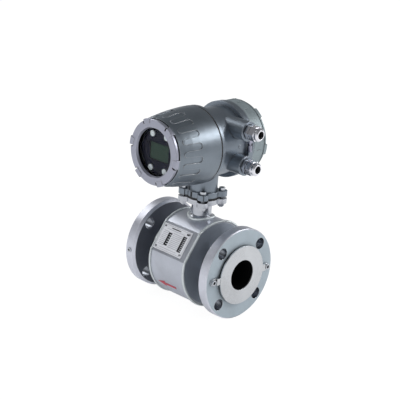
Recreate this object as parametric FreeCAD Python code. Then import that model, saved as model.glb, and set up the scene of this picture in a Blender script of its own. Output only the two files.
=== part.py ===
"""Electromagnetic flow meter: flanged measuring tube with a neck-mounted transmitter.

Millimetres, +Z up.  The origin lies on the pipe axis (X) at the middle of the tube,
the inlet flange is at +X, and the transmitter's window faces -Y.
"""
import FreeCAD, Part
import math
import os

V = FreeCAD.Vector
AXIS_X, AXIS_Y, AXIS_Z = V(1, 0, 0), V(0, 1, 0), V(0, 0, 1)
ORIGIN = V(0, 0, 0)

# --- pipe connection --------------------------------------------------------------
BORE_R = 25.0
LINER_WALL = 2.15
TUBE_WALL = 3.0
FACE_TO_FACE = 200.0
GROUND_RING_THICKNESS = 2.2
GROUND_RING_BOLT_GAP = 2.3
FLARE_THICKNESS = 3.8
FLARE_INSET = 2.5
FLANGE_R = 75.0
FLANGE_THICKNESS = 20.0
FLANGE_FRONT_CHAMFER = 1.5
FLANGE_BACK_CHAMFER = 4.0
BOLT_EDGE = 5.1
BOLT_HOLE_R = 9.55
BOLT_COUNT = 4
RING_SCREW_EDGE = 13.5
RING_SCREW_R = 2.5
RING_SCREW_HEAD_R = 4.6
RING_SCREW_HEAD_HEIGHT = 2.8
RING_SCREW_DEPTH = 11.0
RING_SCREW_SOCKET_ACROSS = 5.0
RING_SCREW_SOCKET_DEPTH = 1.9
RING_TAB_WIDTH = 11.0
RING_TAB_THICKNESS = 2.6
RING_EAR_LENGTH = 7.0
RING_EAR_INSET = 0.6
EARTH_SCREW_R = 2.5
EARTH_SCREW_HEAD_R = 4.0
EARTH_SCREW_HEAD_HEIGHT = 1.6
EARTH_SCREW_DEPTH = 8.0

TUBE_INNER_R = BORE_R + LINER_WALL
TUBE_R = TUBE_INNER_R + TUBE_WALL
RING_OUTER_X = FACE_TO_FACE / 2
RING_INNER_X = RING_OUTER_X - GROUND_RING_THICKNESS
FLANGE_FACE_X = RING_INNER_X - FLARE_THICKNESS
FLANGE_BACK_X = FLANGE_FACE_X - FLANGE_THICKNESS
RING_TAB_X = FLANGE_FACE_X + RING_TAB_THICKNESS
BOLT_CIRCLE_R = FLANGE_R - BOLT_EDGE - BOLT_HOLE_R
GROUND_RING_R = BOLT_CIRCLE_R - BOLT_HOLE_R - GROUND_RING_BOLT_GAP
RING_SCREW_CIRCLE_R = FLANGE_R - RING_SCREW_EDGE
FLARE_R = GROUND_RING_R - FLARE_INSET

# --- coil jacket and what it covers -------------------------------------------------
JACKET_R = 71.0
JACKET_WALL = 3.0
JACKET_LENGTH = 78.0
END_PLATE_THICKNESS = 4.0
FACET_DEPTH = 5.2
FACET_ANGLE = 34.0
BEAD_HEIGHT = 1.3
BEAD_WIDTH = 3.2
BEAD_CHAMFER = 1.1
PLATE_LENGTH = 63.5
PLATE_WIDTH = 45.0
PLATE_THICKNESS = 1.0
PLATE_OFFSET_X = -5.0
RIVET_R = 1.6
RIVET_HEIGHT = 0.8
RIVET_INSET = 4.5
ARROW_LENGTH = 42.0
ARROW_HEAD_LENGTH = 17.0
ARROW_HEAD_WIDTH = 12.0
ARROW_SHAFT_WIDTH = 4.6
ARROW_THICKNESS = 0.4
ARROW_ANGLE = -32.0
ARROW_OFFSET_X = -5.5

JACKET_END_X = JACKET_LENGTH / 2
FACET_DISTANCE = JACKET_R - FACET_DEPTH

SHOE_THICKNESS = 3.0
SHOE_HALF_ANGLE = 38.0
SHOE_HALF_LENGTH = 26.0
COIL_INNER_R = 14.0
COIL_OUTER_R = 26.0
COIL_HEIGHT = 14.0
YOKE_CLEARANCE = 0.3
YOKE_THICKNESS = 2.5
YOKE_HALF_WIDTH = 22.0
ELECTRODE_R = 4.0
SEAL_R = 7.0
SEAL_HEIGHT = 5.0
ELECTRODE_NUT_ACROSS = 13.0
ELECTRODE_NUT_HEIGHT = 5.0
ELECTRODE_TAIL = 1.5

COIL_BASE_R = TUBE_R + SHOE_THICKNESS
YOKE_INNER_R = math.hypot(COIL_OUTER_R, COIL_BASE_R + COIL_HEIGHT) + YOKE_CLEARANCE
YOKE_R = YOKE_INNER_R + YOKE_THICKNESS
SEAL_TOP = TUBE_R + SEAL_HEIGHT
ELECTRODE_NUT_TOP = SEAL_TOP + ELECTRODE_NUT_HEIGHT

# --- neck ---------------------------------------------------------------------------
NECK_R = 16.5
NECK_WALL = 3.0
NECK_HEIGHT = 32.0
NECK_WELD_WIDTH = 4.0
EAR_PLATE_R = 26.5
EAR_PLATE_THICKNESS = 8.0
EAR_CIRCLE_R = 30.5
EAR_R = 8.8
EAR_COUNT = 4
EAR_ANGLE = 45.0
GASKET_THICKNESS = 4.0
GASKET_INSET = 0.7
NECK_SCREW_R = 3.0
NECK_SCREW_CLEARANCE = 0.3
NECK_SCREW_HEAD_R = 5.0
NECK_SCREW_HEAD_HEIGHT = 5.0
NECK_SOCKET_ACROSS = 5.8
NECK_SOCKET_DEPTH = 3.6
NECK_NUT_ACROSS = 10.0
NECK_NUT_HEIGHT = 5.0
NECK_SCREW_TAIL = 2.0

JACKET_INNER_R = JACKET_R - JACKET_WALL
NECK_TOP_Z = JACKET_R + NECK_HEIGHT
EAR_PLATE_BOTTOM_Z = NECK_TOP_Z - EAR_PLATE_THICKNESS
HOUSING_FOOT_Z = NECK_TOP_Z + GASKET_THICKNESS

# --- transmitter housing --------------------------------------------------------------
HOUSING_RISE = 87.4
HOUSING_FOOT_THICKNESS = 9.0
HOUSING_NECK_R = 23.0
HOUSING_NECK_BORE_R = 13.5
CHAMBER_R = 50.0
HOUSING_WALL = 5.0
SPIGOT_WALL = 4.5
SHOULDER_HEIGHT = 7.3
SPIGOT_LENGTH = 19.0
SPIGOT_CHAMFER = 0.6
FRONT_SHOULDER_Y = -27.0
FRONT_SHOULDER_WIDTH = 6.0
FRONT_SHOULDER_TAPER = 5.0
REAR_SHOULDER_Y = 44.0
REAR_SHOULDER_WIDTH = 11.0
SHOULDER_CHAMFER = 0.7
PARTITION_REAR_Y = -12.0
PARTITION_THICKNESS = 4.0
BOSS_R = 16.0
BOSS_Y = 16.0
BOSS_REACH = 11.2
BOSS_ROOT_X = 30.0
UPPER_BOSS_INSET = 22.0
LOWER_BOSS_INSET = 32.0
MARK_R = 3.2
MARK_HEIGHT = 0.6
MARK_Y = 19.0
MARK_RISE = 3.0
LOCK_DEPTH = 5.5
LOCK_WIDTH = 7.0
LOCK_HEIGHT = 22.0
LOCK_CLAMP_HEIGHT = 8.5
LOCK_CLAMP_INSET = 0.5
LOCK_SCREW_R = 2.0
LOCK_SCREW_HEAD_R = 3.3
LOCK_SCREW_HEAD_HEIGHT = 10.0

HOUSING_R = CHAMBER_R + HOUSING_WALL
SPIGOT_R = CHAMBER_R + SPIGOT_WALL
SHOULDER_R = HOUSING_R + SHOULDER_HEIGHT
UPPER_BOSS_RISE = HOUSING_R - UPPER_BOSS_INSET
LOWER_BOSS_RISE = LOWER_BOSS_INSET - HOUSING_R
BOSS_FACE_X = SHOULDER_R + BOSS_REACH
AXIS_HEIGHT = HOUSING_FOOT_Z + HOUSING_RISE
FOOT_TOP_Z = HOUSING_FOOT_Z + HOUSING_FOOT_THICKNESS
PARTITION_FRONT_Y = PARTITION_REAR_Y - PARTITION_THICKNESS
LOCK_RISE = (UPPER_BOSS_RISE + LOWER_BOSS_RISE) / 2
LOCK_FLOOR_X = SHOULDER_R - LOCK_DEPTH
LOCK_START_Y = REAR_SHOULDER_Y - REAR_SHOULDER_WIDTH

# --- covers ---------------------------------------------------------------------------
THREAD_GAP = 0.4
COVER_SEAL_THICKNESS = 1.8
COVER_SEAL_INNER_GAP = 0.6
COVER_SEAL_WIDTH = 4.6
FRONT_COVER_LENGTH = 88.6
FRONT_JOINT_LIP = 0.3
FRONT_SHELL_STATIONS = (0.0, 13.2, 27.2, 42.2, 56.2, 69.2, 80.2)
FRONT_SHELL_DROPS = (0.0, 0.2, 1.1, 2.5, 4.3, 6.6, 9.0)
FRONT_RIM_DROP = 11.0
RIM_CHAMFER = 1.0
RIM_STEP = 0.8
RIM_GROOVE_WIDTH = 2.4
RIM_GROOVE_DEPTH = 1.8
LIP_LENGTH = 5.4
WINDOW_R = 37.5
WINDOW_FLARE = 2.0
WINDOW_FLARE_DEPTH = 3.6
GLASS_POCKET_STEP = 6.0
GLASS_GAP = 0.2
GLASS_THICKNESS = 6.0
WINDOW_GASKET_THICKNESS = 1.0
WINDOW_GASKET_INSET = 1.0
RETAINER_THICKNESS = 3.0
RETAINER_WIDTH = 4.5
COVER_CAVITY_MARGIN = 0.5
LUG_COUNT = 6
LUG_START_ANGLE = -8.0
LUG_HALF_ANGLE = 8.0
LUG_HEIGHT = 2.1
LUG_INNER_R = 45.0
LUG_LENGTH = 8.5
LUG_SLOT_WIDTH = 3.0
LUG_SLOT_DEPTH = 5.0
LUG_SLOT_INSET = 1.0
GRIP_COUNT = 18
GRIP_START_ANGLE = -2.0
GRIP_DEPTH = 1.2
GRIP_WIDTH = 10.4
LAND_OVERLAP = 0.6
FRONT_GRIP_START = 39.2
FRONT_GRIP_LENGTH = 34.0
REAR_COVER_LENGTH = 30.6
REAR_COVER_INSET = 1.3
REAR_COVER_END_WALL = 4.0
REAR_RIM_DROP = 2.4
REAR_RIM_LENGTH = 6.0
REAR_GRIP_START = 3.7
REAR_GRIP_LENGTH = 17.0

FRONT_JOINT_R = SHOULDER_R + FRONT_JOINT_LIP
FRONT_RIM_R = FRONT_JOINT_R - FRONT_RIM_DROP
LUG_R = FRONT_RIM_R + LUG_HEIGHT
COVER_CAVITY_R = CHAMBER_R + COVER_CAVITY_MARGIN
GLASS_POCKET_R = COVER_CAVITY_R - GLASS_POCKET_STEP
RETAINER_R = GLASS_POCKET_R - RETAINER_WIDTH
REAR_COVER_R = SHOULDER_R - REAR_COVER_INSET
REAR_RIM_R = REAR_COVER_R - REAR_RIM_DROP
FRONT_JOINT_Y = FRONT_SHOULDER_Y - COVER_SEAL_THICKNESS
COVER_FRONT_Y = FRONT_JOINT_Y - FRONT_COVER_LENGTH
RIM_FACE_Y = COVER_FRONT_Y + RIM_STEP
LIP_BACK_Y = COVER_FRONT_Y + LIP_LENGTH
GLASS_FRONT_Y = LIP_BACK_Y + WINDOW_GASKET_THICKNESS
GLASS_BACK_Y = GLASS_FRONT_Y + GLASS_THICKNESS
RETAINER_BACK_Y = GLASS_BACK_Y + RETAINER_THICKNESS
REAR_JOINT_Y = REAR_SHOULDER_Y + COVER_SEAL_THICKNESS
REAR_END_Y = REAR_JOINT_Y + REAR_COVER_LENGTH
THREAD_R = SPIGOT_R + THREAD_GAP
SEAL_INNER_R = SPIGOT_R + COVER_SEAL_INNER_GAP
COVER_SEAL_R = SEAL_INNER_R + COVER_SEAL_WIDTH

# --- display, boards and terminals -------------------------------------------------------
PANEL_R = 38.5
PANEL_THICKNESS = 4.0
PANEL_GAP = 2.5
DISPLAY_DROP = 1.5
LCD_LENGTH = 41.5
LCD_HEIGHT = 27.0
LCD_RECESS = 2.0
LCD_BEZEL = 3.2
LCD_THICKNESS = 6.0
LCD_FIT = 0.2
PANEL_SCREW_X = 15.5
PANEL_SCREW_RISE = 27.2
PANEL_SCREW_HEAD_R = 4.8
PANEL_SCREW_HEAD_HEIGHT = 1.6
PANEL_SCREW_SOCKET_R = 1.7
PANEL_SCREW_SOCKET_DEPTH = 1.2
STANDOFF_R = 3.0
BOARD_THICKNESS = 1.6
DISPLAY_BOARD_R = 37.0
AMPLIFIER_BOARD_R = 43.0
BOARD_STANDOFF_LENGTH = 14.0
BOARD_STANDOFF_SPACING = 28.0
BOARD_PART_SIZES = ((-24.0, 3.0, 18.0, 14.0, 12.0), (10.0, -20.0, 22.0, 16.0, 15.0),
                    (-22.0, -14.0, 12.0, 12.0, 8.0), (12.0, 5.0, 14.0, 10.0, 6.0))
TERMINAL_LENGTH = 66.0
TERMINAL_HEIGHT = 20.0
TERMINAL_DEPTH = 16.0
TERMINAL_COUNT = 8
TERMINAL_SCREW_R = 2.6
TERMINAL_SCREW_HEIGHT = 1.0
INNER_EARTH_R = 4.0
INNER_EARTH_HEIGHT = 3.0
INNER_EARTH_X = -26.0
INNER_EARTH_RISE = -27.0
HARNESS_R = 3.5

PANEL_FRONT_Y = GLASS_BACK_Y + PANEL_GAP
PANEL_BACK_Y = PANEL_FRONT_Y + PANEL_THICKNESS
LCD_BACK_Y = PANEL_BACK_Y + LCD_THICKNESS
DISPLAY_Z = AXIS_HEIGHT - DISPLAY_DROP
AMPLIFIER_BACK_Y = PARTITION_FRONT_Y - BOARD_STANDOFF_LENGTH
AMPLIFIER_FRONT_Y = AMPLIFIER_BACK_Y - BOARD_THICKNESS
TERMINAL_FACE_Y = PARTITION_REAR_Y + TERMINAL_DEPTH
TERMINAL_BOTTOM_Z = AXIS_HEIGHT - TERMINAL_HEIGHT / 2
HARNESS_Y = PARTITION_REAR_Y + TERMINAL_DEPTH / 2

# --- cable glands --------------------------------------------------------------------------
GLAND_STUB_R = 8.5
GLAND_STUB_DEPTH = 12.0
GLAND_BORE_R = 6.5
GLAND_ACROSS = 22.0
GLAND_WASHER_THICKNESS = 1.0
GLAND_WASHER_R = 11.5
GLAND_HEX_LENGTH = 7.2
GLAND_FRONT_STUB_LENGTH = 9.3
GLAND_NUT_GAP = 0.8
GLAND_NUT_HEX_LENGTH = 9.5
GLAND_DOME_R = 10.5
GLAND_DOME_LENGTH = 7.0
GLAND_DOME_CHAMFER = 2.4
GLAND_NUT_WALL = 3.0
GLAND_MOUTH_R = 6.25
GLAND_INSERT_R = 8.5
GLAND_INSERT_BORE_R = 5.6

GLAND_SEAT_X = BOSS_FACE_X + GLAND_WASHER_THICKNESS
GLAND_HEX_END_X = GLAND_SEAT_X + GLAND_HEX_LENGTH
GLAND_STUB_END_X = GLAND_HEX_END_X + GLAND_FRONT_STUB_LENGTH
GLAND_NUT_START_X = GLAND_HEX_END_X + GLAND_NUT_GAP
GLAND_NUT_STEP_X = GLAND_NUT_START_X + GLAND_NUT_HEX_LENGTH
GLAND_NUT_END_X = GLAND_NUT_STEP_X + GLAND_DOME_LENGTH
GLAND_NUT_WALL_X = GLAND_NUT_END_X - GLAND_NUT_WALL
GLANDS = {"upper": AXIS_HEIGHT + UPPER_BOSS_RISE, "lower": AXIS_HEIGHT + LOWER_BOSS_RISE}


# --- shared shapes ---------------------------------------------------------------------------
def cyl_x(radius, start, end, y=0.0, z=0.0):
    """Cylinder along X between two stations."""
    return Part.makeCylinder(radius, end - start, V(start, y, z), AXIS_X)


def cyl_y(radius, start, end, x=0.0, z=0.0):
    """Cylinder along Y between two stations."""
    return Part.makeCylinder(radius, end - start, V(x, start, z), AXIS_Y)


def cyl_z(radius, start, end, x=0.0, y=0.0):
    """Cylinder along Z between two heights."""
    return Part.makeCylinder(radius, end - start, V(x, y, start), AXIS_Z)


def box(x0, x1, y0, y1, z0, z1):
    """Box between two corners."""
    return Part.makeBox(x1 - x0, y1 - y0, z1 - z0, V(x0, y0, z0))


def hex_prism(across, start, end, axis, centre=ORIGIN):
    """Hexagonal prism along an axis, given its width across flats."""
    corner = across / math.sqrt(3)
    side = AXIS_Y if axis == AXIS_X else AXIS_X
    other = axis.cross(side)
    points = [centre + axis * start + side * (corner * math.cos(math.radians(60 * k)))
              + other * (corner * math.sin(math.radians(60 * k))) for k in range(7)]
    return Part.Face(Part.makePolygon(points)).extrude(axis * (end - start))


def turned_x(outline):
    """Solid turned about the pipe axis from (x, radius) points."""
    points = [V(x, 0, r) for x, r in outline]
    return Part.Face(Part.makePolygon(points + points[:1])).revolve(ORIGIN, AXIS_X, 360)


def turned_y(outline, start_angle=0.0, sweep=360.0):
    """Solid turned about the transmitter axis from (y, radius) points; angle 0 is +X, 90 is up."""
    centre = V(0, 0, AXIS_HEIGHT)
    points = [V(r, y, AXIS_HEIGHT) for y, r in outline]
    solid = Part.Face(Part.makePolygon(points + points[:1])).revolve(centre, V(0, -1, 0), sweep)
    solid.rotate(centre, V(0, -1, 0), start_angle)
    return solid


def turned_z(outline, x=0.0, y=0.0):
    """Solid turned about a vertical axis from (z, radius) points."""
    points = [V(x + r, y, z) for z, r in outline]
    return Part.Face(Part.makePolygon(points + points[:1])).revolve(V(x, y, 0), AXIS_Z, 360)


def about_x(shape, angle):
    """Copy of a shape turned about the pipe axis."""
    copy = shape.copy()
    copy.rotate(ORIGIN, AXIS_X, angle)
    return copy


def mirrored_x(shape):
    """Copy of a shape mirrored to the other end of the tube."""
    return shape.mirror(ORIGIN, AXIS_X)


def mirrored_y(shape):
    """Copy of a shape mirrored to the other side of the tube."""
    return shape.mirror(ORIGIN, AXIS_Y)


def mirrored_z(shape):
    """Copy of a shape mirrored below the pipe axis."""
    return shape.mirror(ORIGIN, AXIS_Z)


def laid_on_drum(shape, elevation):
    """Turn a shape built facing +Z so that it faces outwards at an elevation above -Y."""
    return about_x(shape, 90.0 - elevation)


def around(count, radius, start_angle):
    """Points spaced evenly on a circle, as (x, y) pairs."""
    angles = [math.radians(start_angle + 360.0 / count * k) for k in range(count)]
    return [(radius * math.cos(a), radius * math.sin(a)) for a in angles]


# --- measuring tube and flanges ------------------------------------------------------------------
def electrode_bore():
    """The pair of electrode holes through the tube wall."""
    return cyl_y(ELECTRODE_R, -TUBE_R - 1, TUBE_R + 1)


def measuring_tube():
    tube = cyl_x(TUBE_R, -FLANGE_FACE_X, FLANGE_FACE_X)
    return tube.cut([cyl_x(TUBE_INNER_R, -FLANGE_FACE_X, FLANGE_FACE_X), electrode_bore()])


def tube_liner():
    """Rubber sleeve whose ends flare over both flange faces."""
    liner = turned_x([(-RING_INNER_X, BORE_R), (-RING_INNER_X, FLARE_R),
                      (-FLANGE_FACE_X, FLARE_R), (-FLANGE_FACE_X, TUBE_INNER_R),
                      (FLANGE_FACE_X, TUBE_INNER_R), (FLANGE_FACE_X, FLARE_R),
                      (RING_INNER_X, FLARE_R), (RING_INNER_X, BORE_R)])
    return liner.cut(electrode_bore())


def inlet_flange():
    """Plate flange with its bolt holes and the tapped holes for the ground ring's screws."""
    flange = turned_x([(FLANGE_BACK_X, TUBE_R), (FLANGE_BACK_X, FLANGE_R - FLANGE_BACK_CHAMFER),
                       (FLANGE_BACK_X + FLANGE_BACK_CHAMFER, FLANGE_R),
                       (FLANGE_FACE_X - FLANGE_FRONT_CHAMFER, FLANGE_R),
                       (FLANGE_FACE_X, FLANGE_R - FLANGE_FRONT_CHAMFER),
                       (FLANGE_FACE_X, TUBE_R)])
    holes = [cyl_x(BOLT_HOLE_R, FLANGE_BACK_X, FLANGE_FACE_X, y, z)
             for y, z in around(BOLT_COUNT, BOLT_CIRCLE_R, 180.0 / BOLT_COUNT)]
    taps = [cyl_x(RING_SCREW_R, FLANGE_FACE_X - RING_SCREW_DEPTH, FLANGE_FACE_X, side)
            for side in (-RING_SCREW_CIRCLE_R, RING_SCREW_CIRCLE_R)]
    return flange.cut(holes + taps)


def outlet_flange():
    """The inlet flange mirrored, with a tapped hole for the earth screw in its rim."""
    tap = cyl_y(EARTH_SCREW_R, -FLANGE_R, EARTH_SCREW_DEPTH - FLANGE_R, earth_screw_x())
    return mirrored_x(inlet_flange()).cut(tap)


def ground_ring_inlet():
    """Steel ring in front of the liner's flare, with two cranked tabs screwed to the flange."""
    ring = turned_x([(RING_INNER_X, BORE_R), (RING_INNER_X, GROUND_RING_R),
                     (RING_OUTER_X, GROUND_RING_R), (RING_OUTER_X, BORE_R)])
    half, ear_reach = RING_TAB_WIDTH / 2, GROUND_RING_R + RING_EAR_LENGTH
    strap = box(FLANGE_FACE_X, RING_TAB_X, -RING_SCREW_CIRCLE_R, RING_SCREW_CIRCLE_R, -half, half)
    ears = box(FLANGE_FACE_X, RING_OUTER_X - RING_EAR_INSET, -ear_reach, ear_reach, -half, half)
    ends = [cyl_x(half, FLANGE_FACE_X, RING_TAB_X, y)
            for y in (-RING_SCREW_CIRCLE_R, RING_SCREW_CIRCLE_R)]
    holes = [cyl_x(RING_SCREW_R, FLANGE_FACE_X, RING_TAB_X, y)
             for y in (-RING_SCREW_CIRCLE_R, RING_SCREW_CIRCLE_R)]
    tabs = strap.fuse(ends + [ears]).cut(holes + [cyl_x(FLARE_R, FLANGE_FACE_X, RING_OUTER_X)])
    return ring.fuse(tabs)


def ring_screws_inlet():
    """The two screws that hold the inlet ground ring."""
    head_x = RING_TAB_X + RING_SCREW_HEAD_HEIGHT
    screws = []
    for y in (-RING_SCREW_CIRCLE_R, RING_SCREW_CIRCLE_R):
        screw = cyl_x(RING_SCREW_R, FLANGE_FACE_X - RING_SCREW_DEPTH, RING_TAB_X, y)
        head = cyl_x(RING_SCREW_HEAD_R, RING_TAB_X, head_x, y)
        socket = hex_prism(RING_SCREW_SOCKET_ACROSS, head_x - RING_SCREW_SOCKET_DEPTH, head_x,
                           AXIS_X, V(0, y, 0))
        screws.append(screw.fuse(head).cut(socket))
    return Part.makeCompound(screws)


def earth_screw_x():
    """Station of the earth screw, at the middle of the outlet flange's rim."""
    return -(FLANGE_BACK_X + FLANGE_FACE_X) / 2


def earth_screw():
    """Screw for the earthing strap, in the rim of the outlet flange."""
    x = earth_screw_x()
    shank = cyl_y(EARTH_SCREW_R, -FLANGE_R, EARTH_SCREW_DEPTH - FLANGE_R, x)
    head = cyl_y(EARTH_SCREW_HEAD_R, -FLANGE_R - EARTH_SCREW_HEAD_HEIGHT, -FLANGE_R + 1, x)
    head = head.cut(cyl_x(FLANGE_R, x - EARTH_SCREW_HEAD_R, x + EARTH_SCREW_HEAD_R))
    socket = hex_prism(EARTH_SCREW_R * 1.4, -FLANGE_R - EARTH_SCREW_HEAD_HEIGHT,
                       -FLANGE_R, AXIS_Y, V(x, 0, 0))
    return shank.common(cyl_x(FLANGE_R, x - EARTH_SCREW_R, x + EARTH_SCREW_R)).fuse(head).cut(socket)


# --- jacket, coils and electrodes -----------------------------------------------------------------
def drum(radius, facet_distance, start, end):
    """Cylinder along X with the flat that carries the nameplate."""
    spare = box(start, end, -radius, radius, facet_distance, radius + 1)
    return cyl_x(radius, start, end).cut(laid_on_drum(spare, FACET_ANGLE))


def coil_jacket():
    shell = drum(JACKET_R, FACET_DISTANCE, -JACKET_END_X, JACKET_END_X)
    inside = drum(JACKET_INNER_R, FACET_DISTANCE - JACKET_WALL, -JACKET_END_X, JACKET_END_X)
    return shell.cut([inside, cyl_z(NECK_R, 0, JACKET_R)])


def jacket_end_inlet():
    """End plate inside the jacket, around the tube."""
    plate = drum(JACKET_INNER_R, FACET_DISTANCE - JACKET_WALL,
                 JACKET_END_X - END_PLATE_THICKNESS, JACKET_END_X)
    return plate.cut(cyl_x(TUBE_R, 0, JACKET_END_X))


def weld_bead():
    """Bead over the jacket's inlet corner."""
    start = JACKET_END_X + BEAD_HEIGHT - BEAD_WIDTH
    end = JACKET_END_X + BEAD_HEIGHT
    outer = drum(JACKET_R + BEAD_HEIGHT, FACET_DISTANCE + BEAD_HEIGHT, start, end)
    edges = [e for e in outer.Edges if e.BoundBox.XLength < 0.01]
    outer = outer.makeChamfer(BEAD_CHAMFER, edges)
    step = drum(JACKET_R, FACET_DISTANCE, start, JACKET_END_X)
    mouth = drum(JACKET_INNER_R, FACET_DISTANCE - JACKET_WALL, start, end)
    return outer.cut([step, mouth])


def weld_beads():
    bead = weld_bead()
    return Part.makeCompound([bead, mirrored_x(bead)])


def nameplate():
    """Bare rectangular plate on the jacket's flat."""
    x0 = PLATE_OFFSET_X - PLATE_LENGTH / 2
    plate = box(x0, x0 + PLATE_LENGTH, -PLATE_WIDTH / 2, PLATE_WIDTH / 2,
                FACET_DISTANCE, FACET_DISTANCE + PLATE_THICKNESS)
    return laid_on_drum(plate, FACET_ANGLE)


def nameplate_rivets():
    base = FACET_DISTANCE + PLATE_THICKNESS
    dx, dy = PLATE_LENGTH / 2 - RIVET_INSET, PLATE_WIDTH / 2 - RIVET_INSET
    heads = [cyl_z(RIVET_R, base, base + RIVET_HEIGHT, PLATE_OFFSET_X + sx * dx, sy * dy)
             for sx in (-1, 1) for sy in (-1, 1)]
    return laid_on_drum(Part.makeCompound(heads), FACET_ANGLE)


def flow_arrow():
    """Raised arrow on the jacket that points from the inlet to the outlet."""
    tip, tail = -ARROW_LENGTH / 2, ARROW_LENGTH / 2
    neck = tip + ARROW_HEAD_LENGTH
    half = [(tip, 0), (neck, ARROW_HEAD_WIDTH / 2), (neck, ARROW_SHAFT_WIDTH / 2),
            (tail, ARROW_SHAFT_WIDTH / 2)]
    outline = half + [(x, -y) for x, y in reversed(half[1:])]
    points = [V(ARROW_OFFSET_X + x, y, JACKET_INNER_R) for x, y in outline]
    face = Part.Face(Part.makePolygon(points + points[:1]))
    block = laid_on_drum(face.extrude(AXIS_Z * (JACKET_WALL * 2)), ARROW_ANGLE)
    skin = cyl_x(JACKET_R + ARROW_THICKNESS, -JACKET_END_X, JACKET_END_X)
    return block.common(skin.cut(cyl_x(JACKET_R, -JACKET_END_X, JACKET_END_X)))


def coil_upper():
    top = COIL_BASE_R + COIL_HEIGHT
    return cyl_z(COIL_OUTER_R, COIL_BASE_R, top).cut(cyl_z(COIL_INNER_R, COIL_BASE_R, top))


def pole_shoe_upper():
    """Core and saddle in one piece, from the tube to the yoke."""
    saddle = Part.makeCylinder(COIL_BASE_R, 2 * SHOE_HALF_LENGTH, V(-SHOE_HALF_LENGTH, 0, 0),
                               AXIS_X, 2 * SHOE_HALF_ANGLE)
    saddle = about_x(saddle, -saddle_centre_angle(saddle))
    core = cyl_z(COIL_INNER_R, 0, YOKE_R).common(cyl_x(YOKE_INNER_R, -COIL_INNER_R, COIL_INNER_R))
    return saddle.fuse(core).cut(cyl_x(TUBE_R, -SHOE_HALF_LENGTH, SHOE_HALF_LENGTH))


def saddle_centre_angle(sector):
    """Angle about X from +Z to the middle of a sector."""
    centre = sector.CenterOfMass
    return math.degrees(math.atan2(-centre.y, centre.z))


def coil_yoke():
    return cyl_x(YOKE_R, -YOKE_HALF_WIDTH, YOKE_HALF_WIDTH).cut(
        cyl_x(YOKE_INNER_R, -YOKE_HALF_WIDTH, YOKE_HALF_WIDTH))


def both_sides(shape):
    """A piece on the -Y side and its twin on the +Y side."""
    return Part.makeCompound([shape, mirrored_y(shape)])


def electrodes():
    """Pair of pins whose tips lie flush with the liner's bore."""
    pin = cyl_y(ELECTRODE_R, -ELECTRODE_NUT_TOP - ELECTRODE_TAIL, -BORE_R / 2)
    return both_sides(pin.cut(cyl_x(BORE_R, -2 * ELECTRODE_R, 2 * ELECTRODE_R)))


def electrode_seals():
    bush = cyl_y(SEAL_R, -SEAL_TOP, 0)
    return both_sides(bush.cut([cyl_x(TUBE_R, -2 * SEAL_R, 2 * SEAL_R),
                                cyl_y(ELECTRODE_R, -SEAL_TOP, 0)]))


def electrode_nuts():
    nut = hex_prism(ELECTRODE_NUT_ACROSS, -ELECTRODE_NUT_TOP, -SEAL_TOP, AXIS_Y)
    return both_sides(nut.cut(cyl_y(ELECTRODE_R, -ELECTRODE_NUT_TOP, -SEAL_TOP)))


# --- neck --------------------------------------------------------------------------------------------
def eared_plate(bottom, top):
    """Round plate with four ears, drilled for the neck screws."""
    plate = cyl_z(EAR_PLATE_R, bottom, top)
    ears = [cyl_z(EAR_R, bottom, top, x, y) for x, y in around(EAR_COUNT, EAR_CIRCLE_R, EAR_ANGLE)]
    webs = []
    for k in range(EAR_COUNT):
        web = box(0, EAR_CIRCLE_R, -EAR_R, EAR_R, bottom, top)
        web.rotate(ORIGIN, AXIS_Z, EAR_ANGLE + 360.0 / EAR_COUNT * k)
        webs.append(web)
    holes = [cyl_z(NECK_SCREW_R + NECK_SCREW_CLEARANCE, bottom, top, x, y)
             for x, y in around(EAR_COUNT, EAR_CIRCLE_R, EAR_ANGLE)]
    return plate.fuse(ears + webs).removeSplitter().cut(holes)


def neck_tube():
    """Tube welded into the jacket, with its eared plate on top."""
    weld_r = NECK_R + NECK_WELD_WIDTH
    weld = turned_z([(0, 0), (0, weld_r), (JACKET_R, weld_r), (JACKET_R + NECK_WELD_WIDTH, NECK_R),
                     (JACKET_R + NECK_WELD_WIDTH, 0)])
    weld = weld.cut(cyl_x(JACKET_R, -weld_r, weld_r))
    tube = cyl_z(NECK_R, JACKET_INNER_R - 1, EAR_PLATE_BOTTOM_Z)
    plate = eared_plate(EAR_PLATE_BOTTOM_Z, NECK_TOP_Z)
    bore = cyl_z(NECK_R - NECK_WALL, 0, NECK_TOP_Z)
    return tube.fuse([weld, plate]).cut(bore)


def neck_gasket():
    outer = EAR_PLATE_R - GASKET_INSET
    return cyl_z(outer, NECK_TOP_Z, HOUSING_FOOT_Z).cut(
        cyl_z(HOUSING_NECK_BORE_R, NECK_TOP_Z, HOUSING_FOOT_Z))


def neck_screws():
    """Socket screws from the housing's foot down through the neck's plate."""
    tail = EAR_PLATE_BOTTOM_Z - NECK_NUT_HEIGHT - NECK_SCREW_TAIL
    head_top = FOOT_TOP_Z + NECK_SCREW_HEAD_HEIGHT
    screws = []
    for x, y in around(EAR_COUNT, EAR_CIRCLE_R, EAR_ANGLE):
        socket = hex_prism(NECK_SOCKET_ACROSS, head_top - NECK_SOCKET_DEPTH, head_top,
                           AXIS_Z, V(x, y, 0))
        screw = cyl_z(NECK_SCREW_R, tail, FOOT_TOP_Z, x, y)
        screws.append(screw.fuse(cyl_z(NECK_SCREW_HEAD_R, FOOT_TOP_Z, head_top, x, y)).cut(socket))
    return Part.makeCompound(screws)


def neck_nuts():
    bottom = EAR_PLATE_BOTTOM_Z - NECK_NUT_HEIGHT
    return Part.makeCompound([
        hex_prism(NECK_NUT_ACROSS, bottom, EAR_PLATE_BOTTOM_Z, AXIS_Z, V(x, y, 0)).cut(
            cyl_z(NECK_SCREW_R, bottom, EAR_PLATE_BOTTOM_Z, x, y))
        for x, y in around(EAR_COUNT, EAR_CIRCLE_R, EAR_ANGLE)])


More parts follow.
